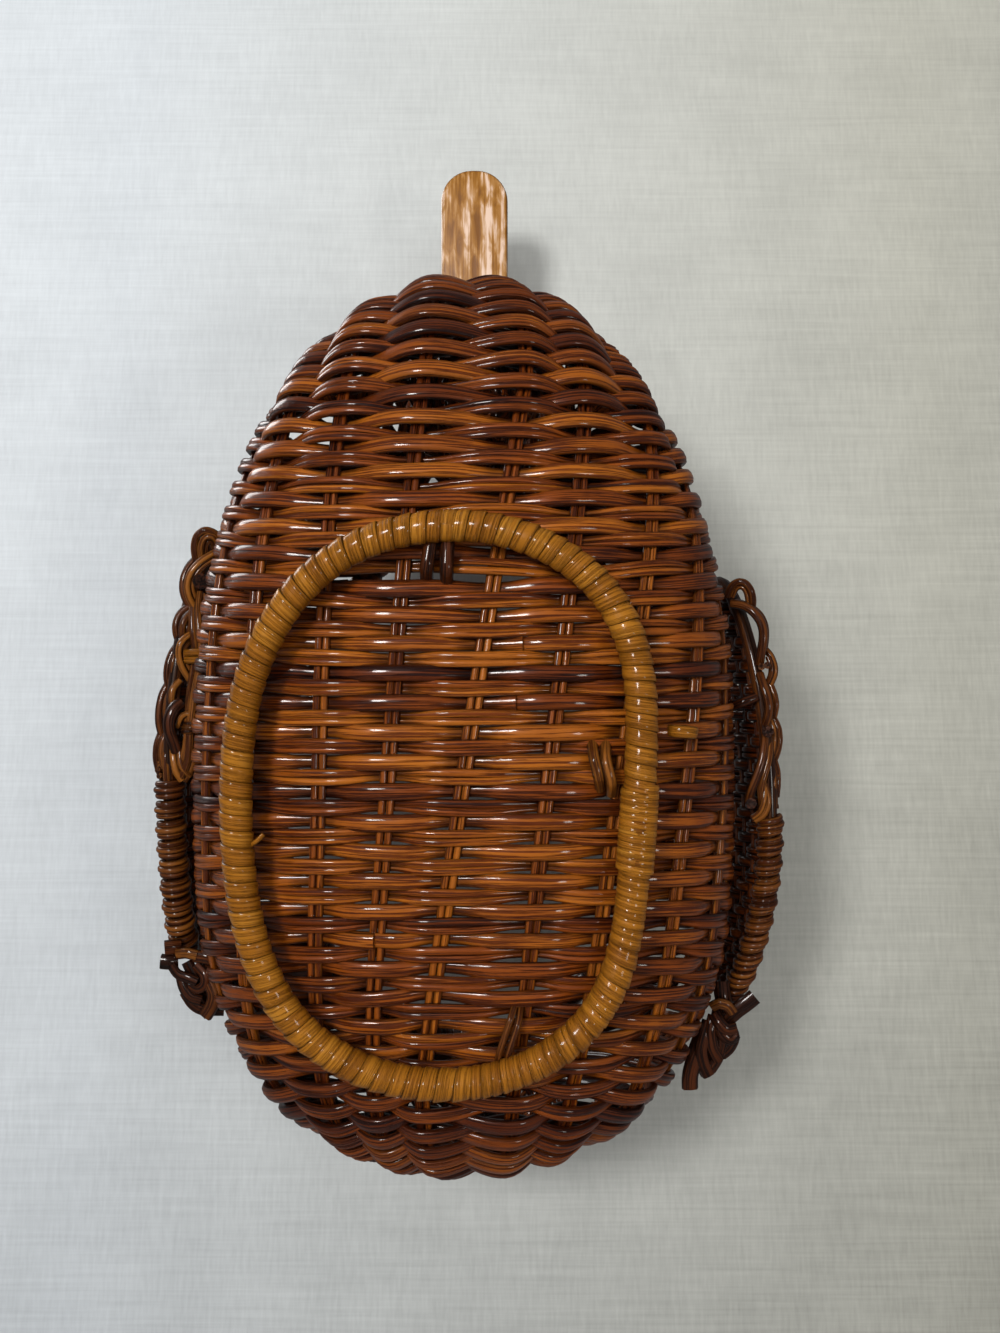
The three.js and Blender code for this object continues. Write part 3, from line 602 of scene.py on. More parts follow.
# Canes of one row, from its stations and angles along the row
def rowCanes(number, x, angle, s, turns, size, closed, tuck=0.0):
    kind = "thin" if number % 2 else "single"
    wave = np.cos(np.pi * (turns + (1 if kind == "single" else 0)))
    place = hullPoint(x, angle)
    ends = smoothStep(weave["endsFrom"], weave["endsTo"], np.abs(place[:, 1] - stake["uprightY"]))
    dip = (0.5 - 0.5 * wave) ** (weave["dip"] - weave["endDip"] * ends)
    swing = weave["wave"] * (1 + weave["endWave"] * ends) * (1 - 2 * dip)
    height = mix(-stake["depth"] + swing * size, -stake["depth"] - 1.3 * size, tuck)
    perStation = np.linalg.norm(hullPoint(x + 0.02, angle) - hullPoint(x - 0.02, angle), axis=1) / 0.04
    stray = (weave["stray"] + weave["endStray"] * ends) * wobble(s, number, 17) * size
    for gapY, gapX, gapHalf, gapSize in () if closed else openGaps:
        distance = place[:, 1] - gapY
        push = np.sign(distance) * np.exp(-(np.abs(distance) / weave["gapFade"])) * gapSize
        stray = stray + push * np.exp(-((place[:, 0] - gapX) / gapHalf) ** 4)
    amber = np.exp(-((place[:, 1] - 5) / 62) ** 2) * np.exp(-(place[:, 0] / 52) ** 4)
    pinch = 1 - weave["pinch"] * smoothStep(0.1, -0.9, wave)
    breast = smoothStep(-42, -72, place[:, 1]) * smoothStep(-120, -105, place[:, 1])
    # Painted shade where the cane runs under a stake
    hidden = weave["hidden"] * smoothStep(-0.35, -0.9, wave)
    width, thickness = weave[kind]
    canes = []
    for side in (-1, 1) if kind == "thin" else (0,):
        apart = side * (weave["thinApart"] * pinch + 0.12 * wave) / 2 * size
        offset = stray + apart + (weave["strayEach"] * wobble(s, number + side * 0.37 + 9, 14) if side else 0)
        girth = size * random.uniform(*weave["girthSpread"]) * (1 + weave["endGirth"][kind] * ends)
        tone = weave["tone"] + weave["amber"] * amber + vary(weave["toneSpread"])
        tone = tone - (weave["darker"] if random.random() < weave["darkShare"] else 0)
        tone = tone + weave["breastLight"] * breast
        points, normals = surfaceCane(x + offset / perStation, angle, height)
        made = cane(points, normals, width * pinch * girth, thickness * girth, tone, hidden, closed)
        canes.append((made, normals))
    return canes


def bowlRow(number, line, short):
    angles = gridAngle[:len(line)]
    keel = hullPoint(line[0], 0.0)
    lengths = lengthsAlong(hullPoint(line, angles))
    limit = lengths[-1]
    s = np.linspace(-limit, limit, max(24, int(2 * limit / weave["step"])) + 1)
    x = np.interp(np.abs(s), lengths, line)
    angle = mirrored(s, lengths, angles)
    marks = atStations(x, markTable)
    gap = marks[:, -1:] - marks[:, -2:-1]
    first, last = marks[:, :1], marks[:, -1:]
    marks = np.hstack([first - gap * 2, first - gap, marks, last + gap, last + gap * 2])
    edge = stake["count"] // 2 + 2
    turns = np.array([np.interp(a, row, range(-edge, edge + 1)) for a, row in zip(arcTo(x, angle), marks)])
    tuck = smoothStep(limit - 6, limit - 0.5, np.abs(s)) * (1.0 if short else 0.45)
    canes = []
    for made, normals in rowCanes(number, x, angle, s, turns, 1.0, False, tuck):
        near = [join for join in joins if number % 2 == 0 and abs(keel[1] - join[0]) < weave["pitch"]]
        canes += splitCane(made, s, near[0][1], normals) if near else [made]
    return canes


# One ring of the neck or the tail
def ringRow(number, x):
    arc = atStations([x], gridArc)[0]
    scale = float(np.interp(x, gridX, stakeScale))
    count = max(24, int(2 * arc[-1] / (weave["step"] * min(1, scale * 1.2))))
    s = np.linspace(-arc[-1], arc[-1], count + 1)[:-1]
    marks = atStations([x], markTable)[0]
    edge = stake["count"] // 2 + 1
    turns = np.interp(s, [-arc[-1], *marks, arc[-1]], range(-edge, edge + 1))
    angle = mirrored(s, arc, gridAngle)
    size = min(1.0, 0.35 + scale * 0.75)
    return [made for made, _ in rowCanes(number, np.full(len(s), x), angle, s, turns, size, True)]


# Ends a cane on top of the next one
def splitCane(made, s, place, normals):
    first, second = s < place + 1, s > place - 7
    over, under = [{key: made[key][part] for key in ("points", "ups", "width", "thickness", "tone", "hidden")}
                   for part in (first, second)]
    sink = 1.2 * smoothStep(place + 8, place - 2, s[second])
    under["points"] = under["points"] - normals[second] * sink[:, None]
    return [cane(**over), cane(**under)]


def makeWeave():
    singles, pairs, neck, tail = [], [], [], []
    lines = rowLines()
    for number in sorted(lines):
        (pairs if number % 2 else singles).extend(bowlRow(number, *lines[number]))
    for rings, start, end, pitch in ((neck, 0.03, 1.98, weave["pitch"]),
                                     (tail, 13.02, lastStation - 0.02, weave["tailPitch"])):
        for number, x in enumerate(rowStations(start, end, pitch, np.pi / 2)):
            rings += ringRow(number, x)
    makeCanes("bowl_single_weavers", singles, "brown_cane", ["body_weave"], 10, 0.92)
    makeCanes("bowl_thin_weavers", pairs, "brown_cane", ["body_weave"], 8, 0.9)
    makeCanes("neck_weavers", neck, "brown_cane", ["neck_weave"], 8, 0.9)
    makeCanes("tail_weavers", tail, "brown_cane", ["tail_weave"], 8, 0.9)


# Coil of cane round a path. Its pitch and width may change along the way, each turn takes its own lightness,
# and a jog bunches the turns on one side.
def coilCane(frameAt, lengths, radii, pitch, width, thickness, tones, hand=1, tilt=0, steps=20, jog=0):
    pitchAt, widthAt = [value if callable(value) else lambda place, value=value: value
                        for value in (pitch, width)]
    places = [lengths[0]]
    while places[-1] < lengths[1]:
        turn = hand * 2 * math.pi * (len(places) - 0.5) / steps
        share = mix(1, (1 - math.sin(turn)) ** 2 / 1.5, jog)
        places.append(places[-1] + pitchAt(places[-1]) * share / steps)
    places = np.array(places)
    angle = hand * 2 * np.pi * np.arange(len(places)) / steps
    point, aside, up, along = frameAt(places)
    radial = up * np.cos(angle)[:, None] + aside * np.sin(angle)[:, None]
    radius = np.sqrt((radii[0] * np.cos(angle)) ** 2 + (radii[1] * np.sin(angle)) ** 2)
    path = point + radial * radius[:, None]
    turn = (np.arange(len(places)) / steps + 0.5).astype(int)
    widths = np.array([widthAt(p) for p in places])
    return cane(path, unit(radial + along * tilt), widths, thickness, np.array(tones)[turn % len(tones)])


# Rim: a hoop seated on the weave's edge, bound with cane

rim = {"hoop": 3.6, "seat": 2.6, "edgeDepth": 1.5, "strip": 3.3, "thickness": 0.9, "pitch": 3.15,
       "tone": 0.42, "toneSpread": 0.2}


def rimEdge(turn):
    x, angle = openingMiddle - openingHalf * np.cos(turn), np.sign(np.sin(turn)) * openingAngle(turn)
    return surfaceCane(x, angle, -rim["edgeDepth"] + np.zeros(len(turn)))


def rimPath(count):
    turn = 2 * np.pi * (np.arange(count) + 0.5) / count
    points, normal = rimEdge(turn)
    tangent = unit(rimEdge(turn + 0.01)[0] - rimEdge(turn - 0.01)[0])
    inwards = unit(np.cross(tangent, normal))
    return points - inwards * rim["seat"], inwards, normal


# Frames at lengths along a closed path
def pathFrames(points, asides, ups):
    lengths = lengthsAlong(np.vstack([points, points[:1]]))
    total = lengths[-1]

    def at(place):
        place = np.mod(place, total)
        blend = lambda rows: np.stack([
            np.interp(place, lengths, np.append(rows[:, k], rows[0, k])) for k in range(3)], -1)
        point, aside, up = blend(points), unit(blend(asides)), unit(blend(ups))
        return point, aside, up, unit(np.cross(aside, up))

    return at, total


def makeRim():
    points, inwards, normals = rimPath(260)
    hoop = cane(points, normals, rim["hoop"], rim["hoop"], 0.4, 0.2, True)
    at, total = pathFrames(points, inwards, normals)
    tones = [rim["tone"] + vary(rim["toneSpread"]) for _ in range(400)]
    reach = rim["hoop"] / 2 + rim["thickness"] / 2
    wrap = coilCane(at, (0, total), (reach, reach + 0.5), rim["pitch"], rim["strip"], rim["thickness"], tones,
                    tilt=0.1, steps=14)
    makeCanes("rim_binding", [hoop, wrap], "dark_cane", ["rim_hoop"], 8)


# Foot hoop wound with honey-coloured strip

foot = {
    "core": 3.8, "clearance": 0.3, "strip": 0.9, "pitch": 3.25, "tightPitch": 2.1, "unevenness": 0.3,
    "overlap": 1.12, "start": 1.5, "edgeLift": 0.14, "tone": 0.62, "toneSpread": 0.15,
    "stained": (27, 28, 31), "stainedTone": 0.3,  # turns of the strip that are darker
}
# Second layer of strip, as shares of the hoop from the front, clockwise from below
footOver = {
    "from": 0.238, "to": 0.292, "pitch": 1.5, "overlap": 1.1, "strip": 0.8, "reach": (0.05, 0.72),
    "edgeLift": 0.1, "tone": 0.66, "toneSwing": 0.1,
}
# Stretches where the strip is wound tighter, as such shares
tightTurns = [(0.245, 0.335), (0.43, 0.475), (0.375, 0.39)]
# Loose ends of the strip, with their widths
footEnds = [
    (2.7, [(44.6, -14.4, 12.5), (45.4, -14.4, 10.4), (47.4, -14.3, 10), (49.2, -14.1, 10.8),
           (49.6, -14, 13)]),
    (1.0, [(-42.4, 8.4, 3.2), (-40.8, 7.4, 2.6), (-39.4, 6, 2.8)]),
]
# Bends of the hoop, bent by hand, clockwise from below from the middle of the front
footBends = [
    (-1.6, -57.1), (8.5, -56.4), (18.6, -52.8), (28.8, -45.6), (34.2, -37.5), (36.9, -29), (37.5, -20),
    (37.2, -8), (36.7, 3), (35.8, 14), (34.6, 26), (32.4, 36), (27, 45), (18.6, 52), (8.5, 56.2),
    (-1.6, 57.4), (-11.8, 56.8), (-21.9, 53.6), (-32.1, 46.8), (-38.4, 38), (-42.2, 28), (-44.3, 17),
    (-45.2, 6), (-45.3, -5), (-44.4, -18), (-41.6, -29), (-36.8, -38.6), (-30.6, -46.2), (-21.9, -52.6),
    (-11.8, -56),
]
footOuter = (foot["core"] / 2 + foot["clearance"]) / math.cos(math.pi / 8) + foot["strip"]
footZ = footOuter + 0.05


def footPath(count):
    knots = np.array([(x, y, footZ) for x, y in footBends + footBends[:1]])
    lengths = lengthsAlong(knots)
    place = np.linspace(0, lengths[-1], count + 1)[:-1]
    points = np.stack([np.interp(place, lengths, knots[:, k]) for k in range(3)], -1)
    for _ in range(count // 2):
        points = (np.roll(points, 1, axis=0) + 2 * points + np.roll(points, -1, axis=0)) / 4
    ups = np.tile([0.0, 0.0, -1.0], (count, 1))
    return points, np.cross(tangentsOf(points, True), ups), ups


def makeFoot():
    points, asides, ups = footPath(720)
    at, total = pathFrames(points, asides, ups)
    core = cane(points[::3], ups[::3], foot["core"], foot["core"], 0.4, 0.3, True)
    makeCanes("foot_core", [core], "honey_cane", ["foot_hoop"], 10)

    def pitch(place):
        share = place / total
        tight = max(smoothStep(a - 0.008, a, share) - smoothStep(b, b + 0.008, share) for a, b in tightTurns)
        uneven = 1 + foot["unevenness"] * noise.noise(Vector((place / 9, 2, 0)))
        return mix(foot["pitch"], foot["tightPitch"], tight) * uneven

    tones = [foot["tone"] + vary(foot["toneSpread"]) for _ in range(200)]
    for n in foot["stained"]:
        tones[n] = foot["stainedTone"]
    reach = footOuter - foot["strip"] / 2
    wrap = coilCane(at, (-foot["start"], total + foot["start"]), (reach, reach), pitch,
                    lambda p: pitch(p) * foot["overlap"], foot["strip"], tones, -1, foot["edgeLift"])
    overTones = [footOver["tone"] + footOver["toneSwing"] * math.sin(n * 2.3) for n in range(200)]
    over = coilCane(at, (footOver["from"] * total, footOver["to"] * total),
                    [reach + more for more in footOver["reach"]], footOver["pitch"],
                    footOver["pitch"] * footOver["overlap"], footOver["strip"], overTones, -1,
                    footOver["edgeLift"])
    # Full painted shade at the strip's edges, where one turn meets the next
    wrap["side"] = over["side"] = 1
    loose = [cane(smoothPath(path, 12), (0, 0, -1), width, width * 0.8, 0.6) for width, path in footEnds]
    nodes = ["foot_wrap_front", "foot_wrap_right", "foot_wrap_left"]
    makeCanes("foot_winding", [wrap, over, *loose], "honey_cane", nodes, 10, 0.6)


# Smooth path through a few given points
def smoothPath(knots, count):
    knots = np.asarray(knots, float)
    lengths = lengthsAlong(knots)
    places = np.linspace(0, lengths[-1], count)
    rounded = np.stack([np.interp(places, lengths, knots[:, k]) for k in range(3)], -1)
    for _ in range(count // 5):
        rounded[1:-1] = (rounded[:-2] + 2 * rounded[1:-1] + rounded[2:]) / 4
    return rounded


# Ties of the foot hoop: each loop runs from the belly over the hoop's inner side

footTies = {
    "front": {"size": 2.9, "tone": 0.2, "loops": [
        ((-6.8, -46.2, 9), (-6.5, -48, 4.2), (-5.6, -54, 4.6), (-5.4, -57, 7)),
        ((-2.6, -45.2, 9), (-2.4, -47.4, 3.6), (-2.2, -54, 4.4), (-2.2, -57, 7))]},
    "right": {"size": 2.3, "tone": 0.65, "loops": [
        ((27.6, -12.5, 8), (27.6, -9.5, 3.6), (28.6, -5.5, 3.6), (29.4, -2.5, 8)),
        ((30.4, -12.5, 8), (30.0, -9.0, 3.4), (31.2, -4.5, 3.4), (31.6, -1.5, 8))]},
    "rear": {"size": 1.4, "tone": 0.4, "loops": [
        ((12.2, 40.5, 9), (10.9, 43.5, 4.8), (8.4, 50.5, 4.2), (7.8, 54.5, 6)),
        ((12.9, 41.6, 9), (12.4, 44.5, 4.6), (10.2, 51, 4.0), (9.6, 55, 6))]},
}


def makeFootTies():
    for place, tie in footTies.items():
        size = tie["size"]
        canes = [cane(smoothPath(loop, 24), (0, 0, -1), size, size * 0.8, tie["tone"] + 0.1 * random.random())
                 for loop in tie["loops"]]
        makeCanes(f"foot_tie_{place}_canes", canes, "dark_cane", [f"foot_tie_{place}"], 10)


# Head: woven in rings round upright stakes

head = {
    "size": (49, 54, 48), "middle": (0, -114, 107), "stakes": 14, "fromLatitude": -47, "toLatitude": 76,
    "pitch": 3.0, "rod": 1.7, "depth": 2.3, "wave": 1.45, "apart": 0.75, "tone": 0.36, "toneSpread": 0.15,
    "slotZ": 102, "slotPush": 3.4, "slotHalf": 13, "slotFade": 9,  # where the rings part round the bill
    # hidden: painted shade where a ring runs under a stake
    "stray": 0.25, "hidden": 0.8,
    "spiral": (0.4, 3.2), "spiralPitch": 2.0, "spiralCane": (2.1, 2.0),  # turns that close the crown
}


def headPoint(longitude, latitude):
    a, b, c = [size / 2 for size in head["size"]]
    flat = np.cos(latitude)
    place = np.stack([a * flat * np.sin(longitude), -b * flat * np.cos(longitude), c * np.sin(latitude)], -1)
    normal = unit(place / np.array([a * a, b * b, c * c]))
    return place + np.array(head["middle"]), normal


def makeHead():
    canes = []
    low, high = math.radians(head["fromLatitude"]), math.radians(head["toLatitude"])
    latitudes = np.linspace(low, high, 60)
    for k in range(head["stakes"]):
        longitude = 2 * np.pi * (k + 0.5) / head["stakes"]
        points, normals = headPoint(np.full(60, longitude), latitudes)
        rod = head["rod"] * np.clip(np.cos(latitudes) * 1.6, 0.5, 1)
        canes.append(cane(points - normals * head["depth"], normals, rod, rod, 0.5, 0.1))
    rings = int((high - low) * head["size"][2] / 2 / head["pitch"])
    longitude = circleTurns(149)
    for n in range(rings + 1):
        latitude = mix(low, high, n / rings)
        thin = n % 2 == 1
        wave = np.sin(longitude * head["stakes"] / 2 + (0 if thin else np.pi))
        base, normals = headPoint(longitude, np.full(len(longitude), latitude))
        near = np.exp(-(base[:, 0] / head["slotHalf"]) ** 4) * (base[:, 1] < head["middle"][1])
        above = base[:, 2] - head["slotZ"]
        push = np.where(above >= 0, 1, -1) * head["slotPush"] * np.exp(-(above / head["slotFade"]) ** 2)
        push = push * near
        for side in ((-1, 1) if thin else (0,)):
            shift = push + side * head["apart"] + head["stray"] * wobble(longitude * 20, n + 40, 16)
            points, normals = headPoint(longitude, latitude + shift / (head["size"][2] / 2))
            height = -head["depth"] + head["wave"] * wave * min(1, max(0.35, math.cos(latitude)) * 1.4)
            tone = head["tone"] + vary(head["toneSpread"])
            # Painted shade where the ring runs under a stake
            hidden = head["hidden"] * smoothStep(-0.1, -0.8, wave)
            size = weave["thin" if thin else "single"]
            canes.append(cane(points + normals * height[:, None], normals, *size, tone, hidden, True))
    turns = np.linspace(*head["spiral"], 90)
    top = np.array(head["middle"]) + np.array([0, 0, head["size"][2] / 2 - 1.6])
    out, turn = turns * head["spiralPitch"], turns * 2 * np.pi
    spiral = top + np.stack([np.cos(turn) * out, np.sin(turn) * out, -0.04 * turns ** 3], -1)
    canes.append(cane(spiral, (0, 0, 1), *head["spiralCane"], 0.4))
    makeCanes("head_weavers", canes, "brown_cane", ["head_weave"], 8)


# Wings

wing = {
    "length": 105, "frontY": -55.5, "stagger": 6, "lowZ": 40, "highZ": 78, "standOff": 5.8, "shift": 1.3,
    "bow": 7, "rearBow": {-1: 0.35, 1: 2.6}, "widest": 0.6, "tipDrop": 8, "hoop": 3.4,
    "bindingFrom": 0.53, "bindingTo": 0.965, "bindingPitch": 2.6, "bindingStrip": (2.7, 1.2),
    "coilFrom": 0.278, "coilTo": 0.465, "coilPitch": 4.8, "coilCane": (1.6, 1.5),
    "coilReach": {"left": 2.7, "right": 2.2}, "coilJog": {"left": 0.85, "right": 0.35},
    "coilStrands": 3, "coilApart": 0.87, "coilTone": 0.47, "hoopTone": 0.42,
    # hidden: painted shade where a panel cane runs under a rib
    "panelFrom": 0.02, "panelTo": 0.48, "panelPitch": 3.1, "stray": 0.35, "hidden": 0.5,
    "ribs": (0.14, 0.34, 0.54, 0.74, 0.92), "ribFrom": 0.012, "ribTo": 0.488, "apart": 0.75, "rod": 1.45,
    "single": (2.9, 1.6), "thin": (1.55, 1.4), "wave": 1.35, "tone": 0.3, "toneSpread": 0.14,
    "tuftAt": 0.475, "tuftRing": 2.6, "tuftRingCane": (1.5, 1.2), "tieCane": (2.2, 1.3), "tieTone": 0.45,
}
wingMiddleZ = (wing["lowZ"] + wing["highZ"]) / 2
wingHalfHeight = (wing["highZ"] - wing["lowZ"]) / 2


def onWing(side, share, z):
    y = wing["frontY"] + side * wing["stagger"] + wing["length"] * share
    rear = np.where(share > wing["widest"], wing["rearBow"][side], 1)
    bow = wing["bow"] * (share / wing["widest"] - 1) ** 2 * rear
    lean = 0.1 * (z - wingMiddleZ)
    x = side * (hull["bodyWidth"] / 2 + wing["standOff"] - bow - lean) + wing["shift"]
    return np.stack(np.broadcast_arrays(x, y, z), -1)


def wingPath(side, count):
    turn = 2 * np.pi * np.arange(count) / count
    c, s = np.cos(turn), np.sin(turn)
    share = 0.5 - 0.5 * c
    taper = np.sqrt(np.maximum(0.04, 1 - 0.72 * share)) * 1.1
    z = wingMiddleZ - wing["tipDrop"] * share ** 2 - wingHalfHeight * taper * np.sign(s) * np.abs(s) ** 0.85
    points = onWing(side, share, z)
    out = unit(np.array([side, 0, 0.1]))
    asides = unit(np.cross(tangentsOf(points, True), out))
    middle = onWing(side, 0.45, wingMiddleZ)
    asides = np.where((asides * (points - middle)).sum(-1, keepdims=True) < 0, -asides, asides)
    return points, asides, np.tile(out, (count, 1))
